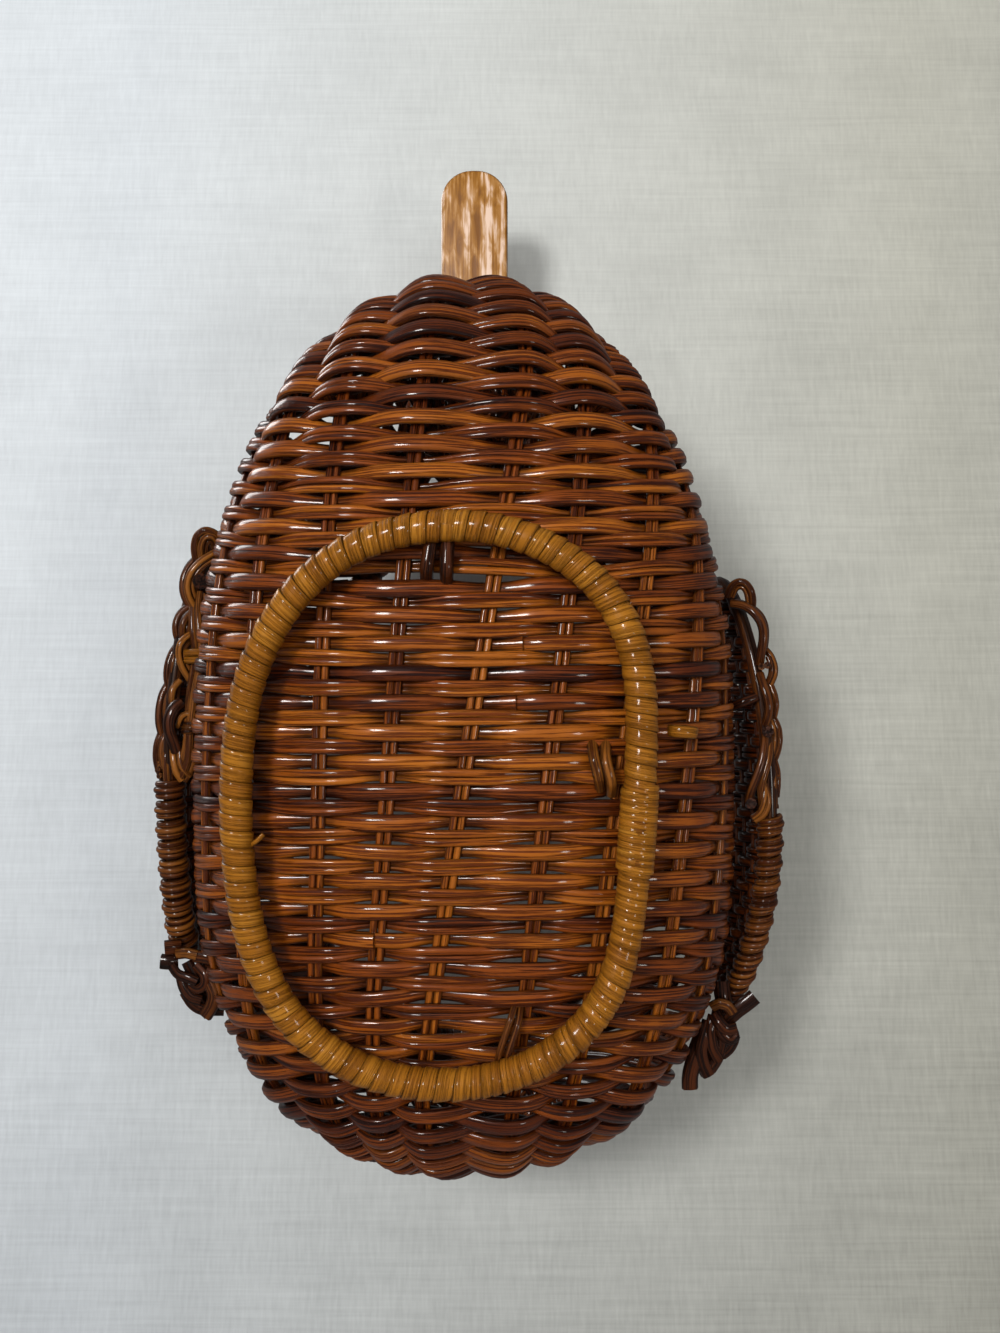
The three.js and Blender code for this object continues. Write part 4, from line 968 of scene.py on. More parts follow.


# Canes of each wing: width, lightness, then x, y and z of each bend. The front is looped by hand.
wingCanes = {
    ("left", "border"): [
        (1.9, 0.5, -64.7, -53.7, 41, -64.9, -56.5, 40, -64.2, -59.4, 39.5, -62.1, -60.8, 39,
         -59.7, -60, 39.5, -58.4, -58.4, 41, -58.2, -56.4, 43),
        (1.7, 0.62, -63.2, -53.9, 40.5, -63.2, -56.5, 39.5, -62.1, -58.9, 39, -60.3, -59.3, 39,
         -59.2, -58.1, 40, -59.3, -56.1, 42),
        (1.5, 0.5, -62.3, -55.1, 41, -62, -57.4, 40, -60.9, -58.4, 40, -60.2, -55.9, 42),
        (2, 0.35, -64.5, -54.5, 42, -66.5, -52.4, 41.5, -67.7, -49.4, 41, -67.9, -46.3, 41,
         -67.1, -43.6, 41.5, -65.8, -41.4, 42.5),
        (1.9, 0.8, -58.1, -56.1, 40, -60.1, -54.8, 38.5, -62.7, -52.9, 37.5, -64.9, -50.2, 37.2,
         -65.9, -47.4, 37.5, -65.5, -44.3, 38, -64.2, -41.7, 39.5),
        (1.6, 0.6, -58, -54.6, 40.5, -59.8, -53.5, 39, -62.2, -51.8, 38, -64.1, -49.4, 37.8, -65, -47, 38,
         -63.9, -42.2, 40),
        (2.2, 0.45, -58.5, -52.8, 43, -60.2, -51.2, 41, -60.9, -48.5, 40.5, -60.7, -45.5, 42),
        (1.8, 0.55, -64.8, -45.3, 40, -65, -40.8, 38.5, -64.7, -36.3, 38, -63.8, -32.7, 38, -64.2, -28.3, 38,
         -65.2, -23, 38, -65.8, -15, 38, -66, -9.6, 38, -66.9, -5.6, 38.3, -69.1, -2.3, 39.5),
        (2.1, 0.62, -63.3, -45.7, 39.5, -63.3, -41.6, 37.8, -62.9, -37.1, 37, -61.9, -32.7, 37,
         -62.4, -27.8, 37, -63.7, -23, 37.2, -65, -14.1, 37.4, -65.1, -9.7, 37.6, -65.5, -4.7, 38,
         -67.9, -1.3, 39.2),
        (1.9, 0.5, -62.4, -45.3, 40, -61.7, -40.8, 38.6, -61.2, -36.3, 38, -60.7, -32.3, 38,
         -61.5, -27.4, 38, -62.8, -23, 38, -64.6, -14.1, 38.2, -64.3, -9.6, 38.2, -64.4, -4.2, 38.8,
         -67.1, -0.7, 40),
        (2, 0.35, -66.1, -43, 42, -68.7, -40.9, 41.5, -69.6, -38.2, 41, -69.4, -35.5, 41, -68.4, -32.8, 42),
        (1.8, 0.55, -64.5, -41.8, 40.5, -66.3, -40.1, 39, -67.4, -37.6, 38.6, -67.4, -35, 39,
         -66.8, -32.8, 40.5),
        (1.5, 0.45, -65.1, -40, 41, -66, -38.8, 39.8, -66.4, -36.8, 39.4, -66.3, -34.6, 40),
        (1.8, 0.8, -64.2, -36.3, 39.5, -65.9, -35.2, 37.8, -67.4, -33.4, 37.2, -67.7, -30.7, 37.2,
         -67, -27.8, 37.6, -65.6, -24.9, 39),
        (1.6, 0.55, -65, -34.6, 40, -66.3, -33.4, 38.4, -66.8, -31.4, 38, -66.3, -28.7, 38.4,
         -65.1, -26.1, 39.6),
        (2.2, 0.35, -68.4, -34.2, 42, -70.5, -31.4, 41.5, -71.4, -28.3, 41, -71.6, -25.1, 41,
         -71.1, -22.4, 42),
        (1.8, 0.5, -68.9, -32.3, 41, -69.8, -29.6, 40, -70.1, -26.5, 40, -69.6, -23.8, 41),
        (2.1, 0.35, -71.2, -24.7, 42.5, -73.1, -21.5, 42, -73.7, -17.9, 41.5, -73.8, -14.3, 41.5,
         -73.1, -10.6, 42.5),
        (1.9, 0.7, -68.2, -24.7, 40, -69.6, -22.9, 39, -70, -20.3, 38.8, -69.4, -17.6, 39.5,
         -68.5, -15.7, 41),
        (1.9, 0.5, -69.2, -23.8, 41, -71.2, -20.7, 40.4, -71.6, -17.1, 40, -71.3, -13.5, 40.5,
         -70.7, -11.6, 41.5),
        (1.5, 0.8, -68.4, -13.6, 38.5, -67.1, -16.1, 37.4, -65.3, -17.2, 37, -64.3, -15.2, 37.5),
        (2, 0.35, -73.3, -12.4, 42.5, -74.4, -9.3, 42, -74.6, -5.7, 42, -74, -2.5, 42.5, -73, -0.2, 43),
        (1.8, 0.5, -71.4, -12.5, 41, -72.6, -9.9, 40.4, -72.8, -6.7, 40.4, -72.3, -3.5, 41),
        (1.9, 0.55, -71.7, -10.3, 40.5, -71.4, -6.8, 39.6, -71.2, -3.3, 39.2, -71, 0.3, 39.6),
        (1.9, 0.8, -69.8, -8.8, 39.5, -69.3, -5.6, 38.6, -68.7, -2.9, 38.4, -67.5, -0.8, 39.2),
        (1.7, 0.6, -67.9, -9.3, 39, -67.6, -5.6, 38.2, -66.7, -3.2, 38.2, -65.5, -1.9, 39.4),
    ],
    ("left", "flat"): [
        (3, 0.2, -67.1, -19.6, 38, -68.8, -18.1, 36.8, -69.7, -15.5, 36.4, -69.7, -12.8, 36.6,
         -68.7, -9.7, 37.5, -68.4, -7.4, 38.5),
    ],
    ("left", "cuts"): [
        (3.9, 0.15, -64.1, -48.7, 43, -62.1, -48.1, 36),
        (1.3, 0.5, -67.1, -14.6, 39.5, -64.6, -14.5, 35.8, -63.2, -14.8, 37, -63.4, -14.9, 39.5),
        (1.3, 0.65, -67.3, -13.6, 39.5, -64.8, -13.5, 35.8, -63.2, -13.9, 37, -63.5, -14, 39.5),
        (1.3, 0.5, -67.4, -12.5, 39.5, -65.1, -12.6, 36, -63.9, -12.8, 37, -64, -13, 39.5),
    ],
    ("left", "tie"): [
        (1.9, 0.5, -66, -31.2, 37.5, -63.5, -31.4, 35.6, -60.3, -31.3, 35.2, -58.4, -30.8, 36.4,
         -57, -30.3, 40),
        (1.9, 0.5, -65.9, -29.5, 37.5, -63.5, -29.5, 35.6, -60.3, -29.5, 35.2, -58.4, -29.5, 36.4,
         -57, -29.4, 40),
    ],
    ("left", "tuft"): [
        (3, 0.4, -68.8, 39.7, 42, -70.5, 39.6, 41, -72.1, 39.7, 40.5),
        (3, 0.02, -69.5, 43.1, 42, -71.2, 43.2, 41, -73.1, 43, 41),
        (2.2, 0.7, -69.2, 41.2, 41, -66.5, 40.5, 39.5, -64, 41.2, 39.5),
        (2.6, 0.4, -64.8, 41.4, 40, -61.5, 41.7, 39.5, -58.5, 42.9, 40),
        (2, 0.1, -70.5, 44.1, 41, -68.7, 45.7, 39.5, -65.9, 46.4, 39, -63.8, 47.3, 39),
        (2.2, 0.2, -68.5, 45.7, 41, -67.4, 49, 40, -65.6, 51.3, 39.5, -63.2, 52.1, 40),
        (2, 0.3, -64.4, 43.6, 40, -61.8, 45.5, 38.8, -61.7, 47.9, 38.6, -63.7, 49.4, 39.2, -65.8, 48.3, 40),
        (2.7, 0.45, -60.9, 47.5, 39, -59.4, 50.2, 38.4, -60.2, 53, 38.6, -62, 55.6, 39.4),
        (2.4, 0.2, -67.4, 50.2, 41, -65.4, 53.2, 40.6, -63.3, 54.6, 40.8, -58.2, 55, 42),
        (2.2, 0.3, -63.3, 44.8, 41, -59.9, 45.4, 40, -58.2, 48.2, 40.5, -58.8, 52.4, 41),
        (2.4, 0.15, -65, 51, 42, -63.3, 54, 41.6, -61.6, 56.1, 41.4),
        (2.4, 0.1, -67.5, 43.6, 43, -65.6, 47.1, 42.5, -62.9, 50.7, 42.5, -59.8, 53.6, 43),
    ],
    ("right", "border"): [
        (1.7, 0.4, 63.5, -44.9, 43, 64, -47.3, 41.5, 65.5, -48.6, 40, 67.4, -48.2, 39.5, 68.8, -46, 39.5,
         69.4, -43.4, 40.5, 69.2, -40.8, 42),
        (1.4, 0.55, 64.9, -44.9, 43, 65.5, -47.1, 41.5, 66.8, -47.4, 40.6, 67.8, -45.8, 40.4,
         68.3, -43.4, 41),
        (2.3, 0.4, 64.4, -43.2, 42, 66.6, -42.9, 40.5, 68.7, -41.5, 39, 70.5, -39.2, 38.4, 71.3, -36.6, 38.2,
         71.2, -33.9, 38.4, 70.8, -31.2, 39, 70.8, -28.6, 40.5),
        (1.6, 0.5, 65.9, -43.8, 43.5, 68.7, -42.8, 42, 71.2, -40.7, 41, 72.4, -38, 40.8, 72.6, -35.3, 41,
         72.4, -32.6, 41.5),
        (1.7, 0.55, 72.3, -32.6, 42.5, 73.8, -30.8, 41.5, 74.7, -28.1, 41, 74.7, -25.9, 41.2,
         73.9, -23.8, 42),
        (1.4, 0.4, 73, -30.4, 41, 73.7, -28.3, 40.4, 73.7, -26.1, 40.6, 73.1, -24.1, 41.5),
        (2.2, 0.4, 71, -26.3, 41, 71.4, -23.6, 39.4, 72.3, -20.5, 38.6, 72.7, -17.9, 38.6, 72.3, -15.2, 39.2,
         71.6, -12.8, 41),
        (1.7, 0.5, 73.8, -24, 42.3, 74.7, -21.3, 41.5, 75.1, -18.6, 41.3, 74.7, -15.9, 42),
        (1.8, 0.45, 74.5, -15.9, 42.5, 75.7, -13.2, 41.6, 75.9, -10.5, 41.3, 75.5, -7.4, 41.6,
         74.7, -5, 42.5),
        (1.6, 0.6, 73.6, -15.5, 41.5, 74.4, -12.8, 40.6, 74.4, -10.2, 40.4, 74.1, -7, 41),
        (2.3, 0.4, 72, -12, 40, 71.4, -9, 38.4, 70.8, -5.5, 37.8, 69.5, -1.9, 37.8, 68.3, 1.3, 38.4,
         68, 4.2, 40),
        (1.9, 0.7, 73.3, -11, 40.5, 72.8, -8, 39, 72.3, -5, 38.4, 71.1, -1.4, 38.2, 70.5, 1.3, 38.4,
         71.1, 4.4, 38.8, 71.5, 7.7, 39.5),
        (1.7, 0.4, 74.7, -5.9, 42.5, 75.5, -2.8, 41.8, 75.5, 0.3, 41.6, 75.3, 3.5, 42),
        (1.8, 0.55, 72.9, -5.2, 40.6, 73.8, -2.6, 39.8, 74, 0.5, 39.6, 73.4, 3.7, 40),
        (1.7, 0.6, 71.2, -0.8, 39.4, 72.3, 1.7, 38.6, 72.5, 4.8, 38.4, 71.5, 7.6, 38.8, 69.6, 8.9, 40),
        (1.7, 0.5, 74.2, 1.5, 40.5, 74.4, 4.6, 39.8, 73.5, 7.2, 39.6, 71.4, 9.1, 40.2),
        (1.5, 0.7, 71.7, 0.9, 38.6, 71.3, 3.9, 38, 70.5, 6.6, 38.4, 69, 8.1, 39.6),
    ],
    ("right", "flat"): [],
    ("right", "cuts"): [
        (1.8, 0.5, 72.3, -28, 44, 70.7, -28, 38),
        (1.8, 0.45, 73.7, -28.3, 44, 72.1, -28.3, 38),
        (2.7, 0.2, 73.8, -12.1, 44, 71.9, -12.5, 37),
        (2.7, 0.25, 69.8, 5.4, 44, 68.1, 4.5, 37.5),
        (1.3, 0.4, 74.3, -1.3, 41, 75.7, -1.3, 41),
        (1.3, 0.4, 74.3, 5.7, 41, 75.5, 5.6, 41),
    ],
    ("right", "tie"): [
        (2.4, 0.2, 63.3, -17.6, 44, 65.1, -18.9, 40, 67.1, -19.7, 39, 69.8, -20.7, 39.4),
    ],
    ("right", "tuft"): [
        (3.2, 0.06, 62.4, 58, 41.5, 65.2, 54.5, 40, 67.6, 52.6, 39.6, 69.5, 51, 39.6),
        (2.2, 0.6, 59.3, 53.6, 40, 60.9, 52.3, 38.8, 62.9, 52.9, 38.6, 64.1, 54.8, 39.4),
        (3.2, 0.1, 62.3, 48.5, 43, 62.3, 51.4, 42, 63, 55.4, 42),
        (2.4, 0.3, 59.9, 55.4, 40.5, 61, 57.3, 39, 62.7, 58.8, 38.8, 64.9, 58.5, 39.6),
        (2.2, 0.2, 60.4, 56.3, 40.5, 61.5, 59.7, 39.4, 63.7, 61.7, 39.4, 65.1, 60.1, 40),
        (2.4, 0.3, 60, 56, 41, 58.9, 59.2, 40, 59.4, 63.3, 40, 61.3, 66.6, 40.6),
        (2.6, 0.25, 58.7, 57.3, 41, 57.4, 60.6, 40, 56.5, 64.2, 40, 57.5, 68, 40.6, 58.8, 70.4, 41),
        (3.2, 0.35, 58.4, 59.3, 41.5, 56.5, 63.6, 41, 54.9, 67.1, 40.6, 54.1, 70.7, 40.8, 54.3, 73.6, 41.2),
        (2.4, 0.2, 61.1, 58.4, 41.5, 61.8, 62.7, 40.8, 60.9, 66.3, 40.8, 59.2, 69.1, 41.2),
        (2.4, 0.1, 63.8, 58.4, 41.5, 65, 61.4, 41, 63.6, 64, 40.8, 61.9, 65.6, 41.4),
        (2.6, 0.2, 59.9, 61, 42.5, 58.5, 65.4, 42, 57.6, 69, 42, 58.5, 70.4, 42),
        (2.2, 0.15, 57.6, 58.6, 42, 56.1, 62.1, 41.6, 54.8, 65.7, 41.6),
        (2.6, 0.05, 61.8, 54.4, 43, 60.8, 58.8, 42.6, 59.9, 63.3, 42.6),
    ],
}


def handCanes(rows, up=(0, 0, -1), flat=0.85, tint=0, wide=1):
    canes = []
    for width, tone, *bends in rows:
        knots = np.reshape(bends, (-1, 3))
        path = smoothPath(knots, max(8, 4 * len(knots)))
        canes.append(cane(path, up, width * wide, width * wide * flat, tone + tint, 0.05))
    return canes


# Woven filling of a wing: pairs of ribs along it, and canes that cross them from the low edge to the high one
def panelCanes(side, at, total, out):
    panel = []
    low = lambda share: at(np.atleast_1d(share * total))[0]
    high = lambda share: at(np.atleast_1d(-share * total))[0]
    shares = np.linspace(wing["ribFrom"], wing["ribTo"], 90)
    apart, rod = wing["apart"], wing["rod"]
    for f in wing["ribs"]:
        path = mix(low(shares), high(shares), f)
        for shift in (-apart, apart):
            panel.append(cane(path + np.array([0, 0, shift]), out, rod, rod, 0.5 + vary(0.1), 0.1))
    count = int((wing["panelTo"] - wing["panelFrom"]) * total / wing["panelPitch"])
    t = np.linspace(0.0, 1.0, 40)
    for n in range(count + 1):
        share = mix(wing["panelFrom"], wing["panelTo"], n / count)
        line = mix(low(share), high(share), t[:, None])
        wave = np.cos(np.pi * (np.interp(t, [0, *wing["ribs"], 1], np.arange(len(wing["ribs"]) + 2)) + n))
        height = wing["wave"] * wave * smoothStep(0, 0.06, t) * smoothStep(1, 0.94, t)
        path = line + out * height[:, None]
        path = path + np.array([0, 1, 0]) * (wing["stray"] * wobble(t * 40, n + 60 * side, 14))[:, None]
        thin = n % 2 == 1
        for shift in ((-apart, apart) if thin else (0,)):
            # The last value given to each cane is painted shade where it runs under a rib
            tone = wing["tone"] + vary(wing["toneSpread"])
            panel.append(cane(path + np.array([0, shift, 0]), out, *wing["thin" if thin else "single"], tone,
                              wing["hidden"] * smoothStep(-0.1, -0.8, wave)))
    return panel


# Curled, flattened cane ends at the wing's tip
def tuftCanes(label, at, total):
    tip = at(np.array([wing["tuftAt"] * total]))[0][0]
    canes = handCanes(wingCanes[label, "tuft"], flat=0.5, tint=-0.08, wide=1.25)
    for n in range(2):
        middle = tip + np.array([0, -1.2 + 1.4 * n, 0])
        ring = ringPath(middle, wing["tuftRing"], np.array([1, 0, 0]), np.array([0, 0, 1]), 27)
        canes.append(cane(ring, unit(ring - tip), *wing["tuftRingCane"], 0.3, 0.1, True))
    return canes


# Two loops from the bowl to the rear of the wing
def rearTieCanes(label, side):
    low, high = [(np.array(corner) - datum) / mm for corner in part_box(f"wing_{label}_tie_rear")]
    middleY = (low[1] + high[1]) / 2
    a = np.array([low[0] if side < 0 else high[0], middleY, high[2]])
    b = np.array([high[0] if side < 0 else low[0], middleY, low[2]])
    canes = []
    for shiftY in (-1.2, 1.2):
        bends = [a, mix(a, b, 0.5) + (0, 0, 1.0), b] + np.array([0, shiftY, 0])
        canes.append(cane(smoothPath(bends, 16), (0, 0, 1), *wing["tieCane"], wing["tieTone"]))
    return canes


def makeWing(label, side):
    points, asides, ups = wingPath(side, 480)
    at, total = pathFrames(points, asides, ups)
    rounds = [wing["hoopTone"] + vary(0.2) for _ in range(200)]
    reach = wing["hoop"] / 2 + 0.6
    hoop = cane(points[::3], ups[::3], wing["hoop"], wing["hoop"], wing["hoopTone"], 0.2, True)
    binding = coilCane(at, (wing["bindingFrom"] * total, wing["bindingTo"] * total), (reach, reach),
                       wing["bindingPitch"], *wing["bindingStrip"], rounds, 1, 0.06, 14)
    makeCanes(f"wing_{label}_frame", [hoop, binding], "dark_cane", [f"wing_{label}_hoop"], 8)

    coil = []
    for strand in range(wing["coilStrands"]):
        start = wing["coilFrom"] * total + strand * wing["coilCane"][0] * wing["coilApart"]
        reach = wing["coilReach"][label] + (0.4 if strand == 1 else 0)
        tones = [wing["coilTone"] + vary(0.1) for _ in range(40)]
        coil.append(coilCane(at, (start, wing["coilTo"] * total), (reach, reach), wing["coilPitch"],
                             *wing["coilCane"], tones, side, jog=wing["coilJog"][label]))
    border = handCanes(wingCanes[label, "border"]) + handCanes(wingCanes[label, "flat"], flat=0.35)
    border += handCanes(wingCanes[label, "cuts"], up=(0, 1, 0), flat=1.0)
    frontStain = "honey_cane" if label == "left" else "dark_cane"
    for name, canes, stain, node, sides, squareness in (
            ("coil", coil, "dark_cane", "wrap", 10, 1.0),
            ("border", border, "dark_cane", "braid", 8, 1.0),
            ("weavers", panelCanes(side, at, total, ups[0]), "brown_cane", "panel", 6, 1.0),
            ("ends", tuftCanes(label, at, total), "dark_cane", "tuft", 8, 0.7),
            ("tie_front_canes", handCanes(wingCanes[label, "tie"]), frontStain, "tie_front", 8, 1.0),
            ("tie_rear_canes", rearTieCanes(label, side), "honey_cane", "tie_rear", 8, 1.0)):
        makeCanes(f"wing_{label}_{name}", canes, stain, [f"wing_{label}_{node}"], sides, squareness)


# Tail tip: stake ends, bound together

tailTip = {
    "ends": 13, "tilt": 45, "length": 9.5, "shorter": 0.25, "below": 3, "spread": 0.9, "flare": 0.6,
    "endCane": (1.8, 1.5), "bindings": 4, "bindingFrom": 1.2, "bindingPitch": 1.45, "bindingRadius": 4.6,
    "bindingCane": (1.5, 1.3),
}


def makeTailTip():
    y, z, _ = hull["tail"]
    tilt = math.radians(tailTip["tilt"])
    way = np.array([0, math.cos(tilt), math.sin(tilt)])
    sideways, across = np.array([1, 0, 0]), np.array([0, -way[2], way[1]])
    base = np.array([0, y, z])
    t = np.linspace(0, 1, 14)[:, None]
    below, canes = tailTip["below"], []
    for n in range(tailTip["ends"]):
        spread = tailTip["spread"] * math.sqrt(n)
        aside = sideways * math.cos(2.4 * n) + across * math.sin(2.4 * n)
        length = tailTip["length"] - tailTip["shorter"] * n + vary(1)
        path = base - way * below + aside * spread + way * (length + below) * t
        path = path + aside * (tailTip["flare"] * spread) * t ** 3
        canes.append(cane(path, aside, *tailTip["endCane"], 0.35 + vary(0.12), 0.1))
    for n in range(tailTip["bindings"]):
        middle = base + way * (tailTip["bindingFrom"] + tailTip["bindingPitch"] * n)
        ring = ringPath(middle, tailTip["bindingRadius"], sideways, across, 33)
        canes.append(cane(ring, unit(ring - middle), *tailTip["bindingCane"], 0.4, 0.1, True))
    makeCanes("tail_ends", canes, "dark_cane", ["tail_tip"], 8)


# Bill: a flat tongue of wood

bill = {"width": 20, "length": 46, "thickness": 4, "corner": 9.2, "edge": 1.1, "z": 102, "aside": 0.8}
# Grain and long bands of the wood, and patches, whose high sums turn to pale painted reflection: scale each
# way per metre, detail, roughness, distortion, share
billGrainAndReflection = [((700, 22, 300), 5, 0.62, 0.3, 0.4), ((330, 14, 120), 2, 0.5, 0.4, 0.45),
             ((430, 120, 120), 4, 0.5, 0.4, 0.45)]
# The palest stop is painted reflection; the lower ones are the wood's amber and brown
billStops = [(0.42, (0.20, 0.07, 0.004)), (0.5, (0.34, 0.14, 0.014)), (0.55, (0.47, 0.24, 0.08)),
             (0.62, (0.82, 0.60, 0.46))]
billEdgeShadeStops = [(0.5, (0.42, 0.34, 0.24)), (0.96, (1, 1, 1))]  # painted shade, darker where the edges round away


def billMaterial():
    material, tree, shader = newMaterial("bill_wood")
    place = addNode(tree, "TexCoord")
    both = -0.13
    for scale, detail, roughness, distortion, share in billGrainAndReflection:
        stretch = addNode(tree, "Mapping", {"Vector": place.outputs["Object"], "Scale": scale}).outputs[0]
        grain = noiseOf(tree, stretch, 1.0, detail, roughness, distortion)
        both = calc(tree, "MULTIPLY_ADD", grain, share, both)
    facing = addNode(tree, "SeparateXYZ", {"Vector": place.outputs["Normal"]})
    # Painted shade on the rounded edges, read from which way the surface faces
    edge = ramp(tree, calc(tree, "ABSOLUTE", facing.outputs["Z"]), billEdgeShadeStops)
    setInputs(tree, shader, {
        "Base Color": calc(tree, "MULTIPLY", ramp(tree, both, billStops), edge, kind="VectorMath"),
        "Normal": bumpOf(tree, both, 0.6, 0.0004),
        "Roughness": 0.38, "Coat Weight": 0.35, "Coat Roughness": 0.15})
    return material


def makeBill():
    shape = bmesh.new()
    halfWidth, corner, back = bill["width"] / 2, bill["corner"], billTipY + bill["length"]
    outline = [(-halfWidth, back), (halfWidth, back)]
    for middle, start in ((halfWidth - corner, 0), (corner - halfWidth, -90)):
        for k in range(11):
            angle = math.radians(start - 9 * k)
            outline.append((middle + corner * math.cos(angle), billTipY + corner + corner * math.sin(angle)))
    z = bill["z"] - bill["thickness"] / 2
    corners = [shape.verts.new(Vector(datum) + Vector((x + bill["aside"], y, z)) * mm) for x, y in outline]
    grown = bmesh.ops.extrude_face_region(shape, geom=[shape.faces.new(corners)])
    tops = [item for item in grown["geom"] if isinstance(item, bmesh.types.BMVert)]
    bmesh.ops.translate(shape, verts=tops, vec=(0, 0, bill["thickness"] * mm))
    bmesh.ops.recalc_face_normals(shape, faces=shape.faces)
    edges = [edge for edge in shape.edges if abs(edge.verts[0].co.z - edge.verts[1].co.z) < 1e-6]
    bmesh.ops.bevel(shape, geom=edges, offset=bill["edge"] * mm, offset_type="OFFSET", segments=4,
                    profile=0.5, affect="EDGES", material=-1)
    mesh = writeShape(shape, bpy.data.meshes.new("bill_tongue"))
    mesh.shade_smooth()
    mesh.set_sharp_from_angle(angle=math.radians(40))
    addPiece("bill_tongue", mesh, billMaterial(), ["bill"])


# Eyes: turned beads

bead = {
    "profile": [(0, -0.6), (2.4, -0.6), (3.05, 0), (3.2, 0.6), (2.9, 1.4), (2.1, 2.1), (1, 2.5), (0, 2.6)],
    "sunk": 1.0, "steps": 28,
}


def beadMaterial():
    material, tree, shader = newMaterial("black_bead")
    specks = noiseOf(tree, objectPlace(tree), 900, 2)
    color = ramp(tree, specks, [(0.35, (0.006, 0.005, 0.005)), (0.7, (0.02, 0.017, 0.014))])
    setInputs(tree, shader, {"Base Color": color, "Roughness": 0.12, "Coat Weight": 0.6})
    return material


def makeEyes():
    material = beadMaterial()
    centre = Vector(datum) + Vector(head["middle"]) * mm
    sizes = Vector(head["size"]) / 2
    for label in ("left", "right"):
        low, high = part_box(f"eye_{label}")
        middle = (low + high) / 2
        normal = Vector([way / size ** 2 for way, size in zip(middle - centre, sizes)]).normalized()
        shape = bmesh.new()
        line = [shape.verts.new((x * mm, 0, z * mm)) for x, z in bead["profile"]]
        edges = [shape.edges.new(pair) for pair in zip(line, line[1:])]
        bmesh.ops.spin(shape, geom=line + edges, axis=(0, 0, 1), cent=(0, 0, 0), angle=2 * math.pi,
                       steps=bead["steps"], use_merge=True)
        bmesh.ops.remove_doubles(shape, verts=shape.verts, dist=1e-6)
        bmesh.ops.recalc_face_normals(shape, faces=shape.faces)
        seat = middle - normal * bead["sunk"] * mm
        turn = normal.to_track_quat("Z", "Y").to_matrix().to_4x4()
        bmesh.ops.transform(shape, matrix=Matrix.Translation(seat) @ turn, verts=shape.verts)
        name = f"eye_{label}_bead"
        mesh = writeShape(shape, bpy.data.meshes.new(name))
        mesh.shade_smooth()
        piece = addPiece(name, mesh, material, [f"eye_{label}"])
        smooth = piece.modifiers.new("smooth", "SUBSURF")
        smooth.levels = smooth.render_levels = 1


makeStakes()
makeWeave()
makeRim()
makeFoot()
makeFootTies()
makeHead()
for wingLabel, wingSide in (("left", -1), ("right", 1)):
    makeWing(wingLabel, wingSide)
makeTailTip()
makeBill()
makeEyes()
print("pieces made")


# Stage: a pale floor that only shows from above, and a cloth behind the basket that only shows from below

stage = {
    "paper": (0.60, 0.62, 0.625), "cool": (0.97, 1, 1.04), "warm": (1.01, 0.98, 0.86),
    "paintedLightWarmth": (-0.12, 0.15), "threads": 0.2, "threadBase": 0.6, "fade": (0.35, 1.1), "ambient": 0.16,
    "floorSize": 3.0, "floorThreads": 300, "clothSize": 0.75, "clothThreads": 900,
    "clothTilt": 8, "clothY": -110, "clothZ": 133, "clothPaintedLightSlopes": (-1.1, -0.85),
}


# Linen that shows from one side only, with threads both ways. Painted light makes it lighter at the front
# left, where slopes are given, and tints it cooler at the left and warmer at the right.
def oneSided(name, threadScale, paintedLightSlopes):
    material, tree, shader = newMaterial(name)
    place = objectPlace(tree)
    light = stage["threadBase"]
    for stretch in ((0.03, 1, 1), (1, 0.03, 1), (0.03, 0.03, 0.03)):
        drawn = calc(tree, "MULTIPLY", place, stretch, kind="VectorMath")
        light = calc(tree, "MULTIPLY_ADD", noiseOf(tree, drawn, threadScale, 2, 0.6), stage["threads"], light)
    parts = addNode(tree, "SeparateXYZ", {0: place})
    # Painted light: lighter towards the front left
    for axis, slope in zip("XY", paintedLightSlopes):
        light = calc(tree, "MULTIPLY_ADD", parts.outputs[axis], slope, light)
    # Painted light's colour: cooler at the left, warmer at the right
    cool, warm = [np.array(stage["paper"]) * stage[key] for key in ("cool", "warm")]
    hue = ramp(tree, mapped(tree, parts.outputs["X"], *stage["paintedLightWarmth"]), [(0, cool), (1, warm)])
    setInputs(tree, shader, {"Base Color": scaled(tree, hue, light), "Roughness": 0.95,
                             "Specular IOR Level": 0.1})
    side = addNode(tree, "NewGeometry")
    rays = addNode(tree, "LightPath")
    front = calc(tree, "SUBTRACT", 1.0, side.outputs["Backfacing"])
    seen = calc(tree, "MULTIPLY", front, rays.outputs["Is Camera Ray"])
    far = addNode(tree, "VectorMath", {0: place}, operation="LENGTH").outputs["Value"]
    near = mapped(tree, far, *stage["fade"], 1.0, 0.0, interpolation_type="SMOOTHSTEP")
    clear = addNode(tree, "BsdfTransparent")
    blend = addNode(tree, "MixShader", {0: calc(tree, "MULTIPLY", seen, near), 1: clear.outputs[0],
                                        2: shader.outputs[0]})
    setInputs(tree, tree.nodes["Material Output"], {"Surface": blend.outputs[0]})
    return material


def addSheet(name, size, matrix, material):
    shape = bmesh.new()
    bmesh.ops.create_grid(shape, x_segments=2, y_segments=2, size=size)
    bmesh.ops.transform(shape, matrix=matrix, verts=shape.verts)
    sheet = addObject(name, writeShape(shape, bpy.data.meshes.new(name)))
    sheet.data.materials.append(material)
    sheet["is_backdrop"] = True


addSheet("floor", stage["floorSize"], Matrix.Identity(4),
         oneSided("floor_paper", stage["floorThreads"], (0, 0)))
behind = Vector(datum) + Vector((0, stage["clothY"], stage["clothZ"])) * mm
facingDown = Matrix.Rotation(math.pi - math.radians(stage["clothTilt"]), 4, "X")
addSheet("cloth", stage["clothSize"], Matrix.Translation(behind) @ facingDown,
         oneSided("backdrop_cloth", stage["clothThreads"], stage["clothPaintedLightSlopes"]))

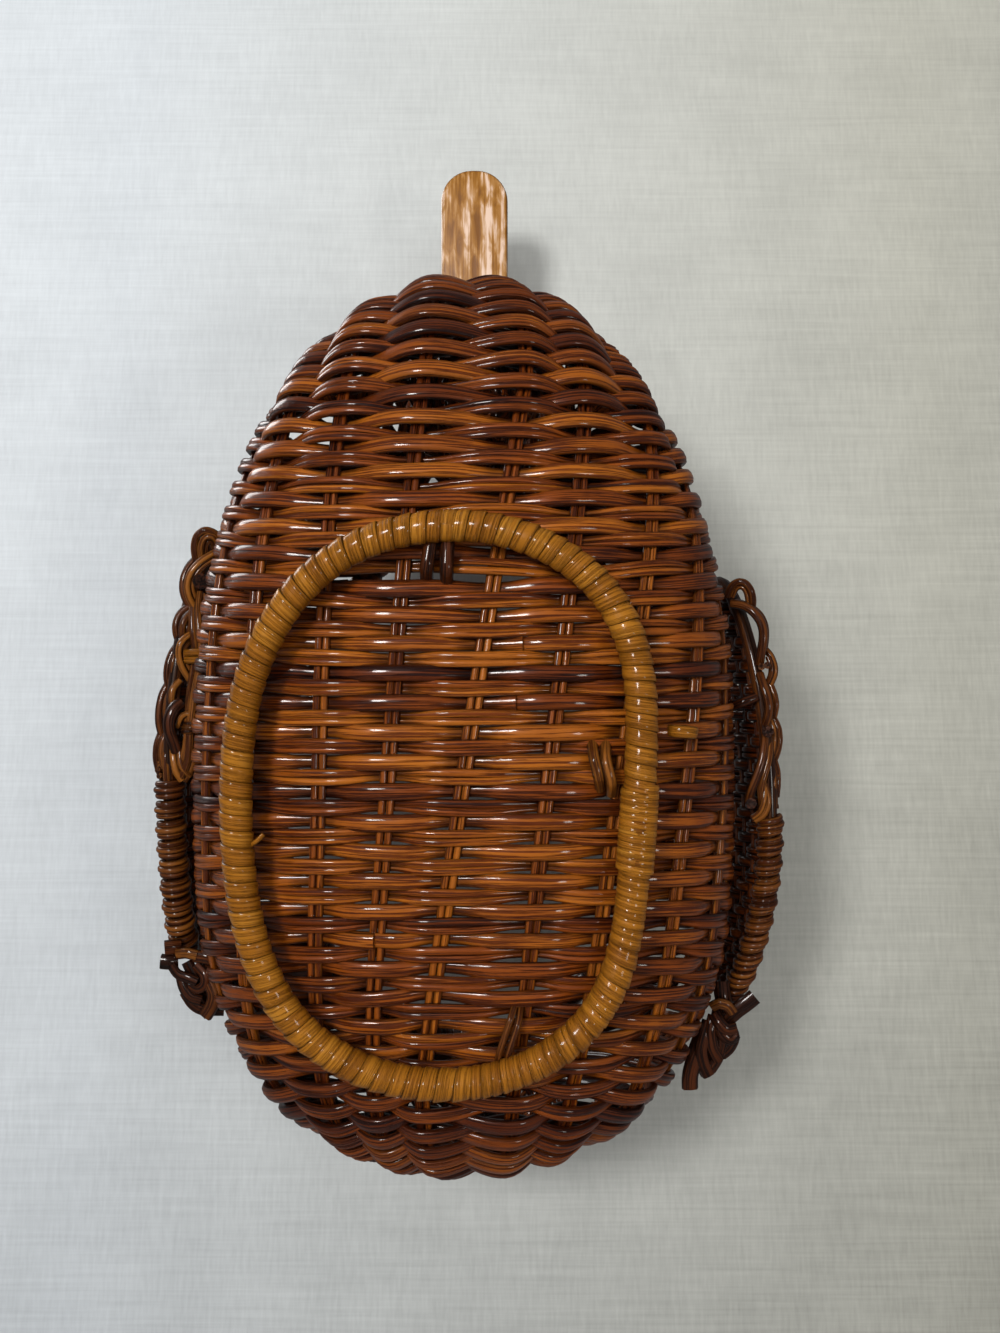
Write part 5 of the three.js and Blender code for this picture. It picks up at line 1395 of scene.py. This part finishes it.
# Lamps: place and the height they aim at in metres, size, watts, colour, and whether they show as highlights
lamps = {
    "window": ((-0.24, -0.18, -0.56), 0.04, 0.14, 2.8, (1.0, 0.98, 0.96), True),
    "room": ((0.34, 0.10, -0.50), 0.04, 0.12, 0.6, (1.0, 0.96, 0.9), True),
    "left": ((-0.75, -0.60, 0.50), 0.05, 0.5, 5.5, (1.0, 1.0, 1.0), True),
    "right": ((0.75, 0.60, 0.55), 0.05, 0.5, 4.6, (1.0, 1.0, 1.0), False),
    "fill": ((-0.10, -0.30, -1.2), 0.04, 1.3, 8.0, (1.0, 0.99, 0.98), False),
}
for lampName, (lampPlace, aimZ, size, watts, color, glossy) in lamps.items():
    light = bpy.data.lights.new(lampName, "AREA")
    light.shape = "DISK"
    light.size = size
    light.energy = watts
    light.color = color
    lamp = addObject(lampName, light)
    lamp.location = lampPlace
    lamp.rotation_euler = (Vector((0, 0, aimZ)) - Vector(lampPlace)).to_track_quat("-Z", "Y").to_euler()
    lamp.visible_glossy = glossy

world = bpy.data.worlds.new("studio")
bpy.context.scene.world = world
world.use_nodes = True
sky = world.node_tree
seen = addNode(sky, "LightPath").outputs["Is Camera Ray"]
tint = addNode(sky, "Mix", {0: seen, 6: (1, 1, 1, 1), 7: (*stage["paper"], 1)}, data_type="RGBA")
strength = mapped(sky, seen, 0, 1, stage["ambient"])
setInputs(sky, sky.nodes["Background"], {"Color": tint.outputs[2], "Strength": strength})
print("stage made")

# Camera: straight under the basket, with the bill up
view = {"place": (8.5, -28.0, -200.0), "lens": 27.03, "sensor": 36}
camera = bpy.data.cameras.new("camera")
camera.lens = view["lens"]
camera.sensor_width = view["sensor"]
camera.clip_start = 0.005
eye = addObject("camera", camera)
eye.location = Vector(datum) + Vector(view["place"]) * mm
eye.rotation_euler = (math.pi, 0, 0)
bpy.context.scene.camera = eye
bpy.context.scene.view_settings.view_transform = "Standard"

low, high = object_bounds()
{"cad": [list(cadLow), list(cadHigh)], "visual": [list(low), list(high)]}
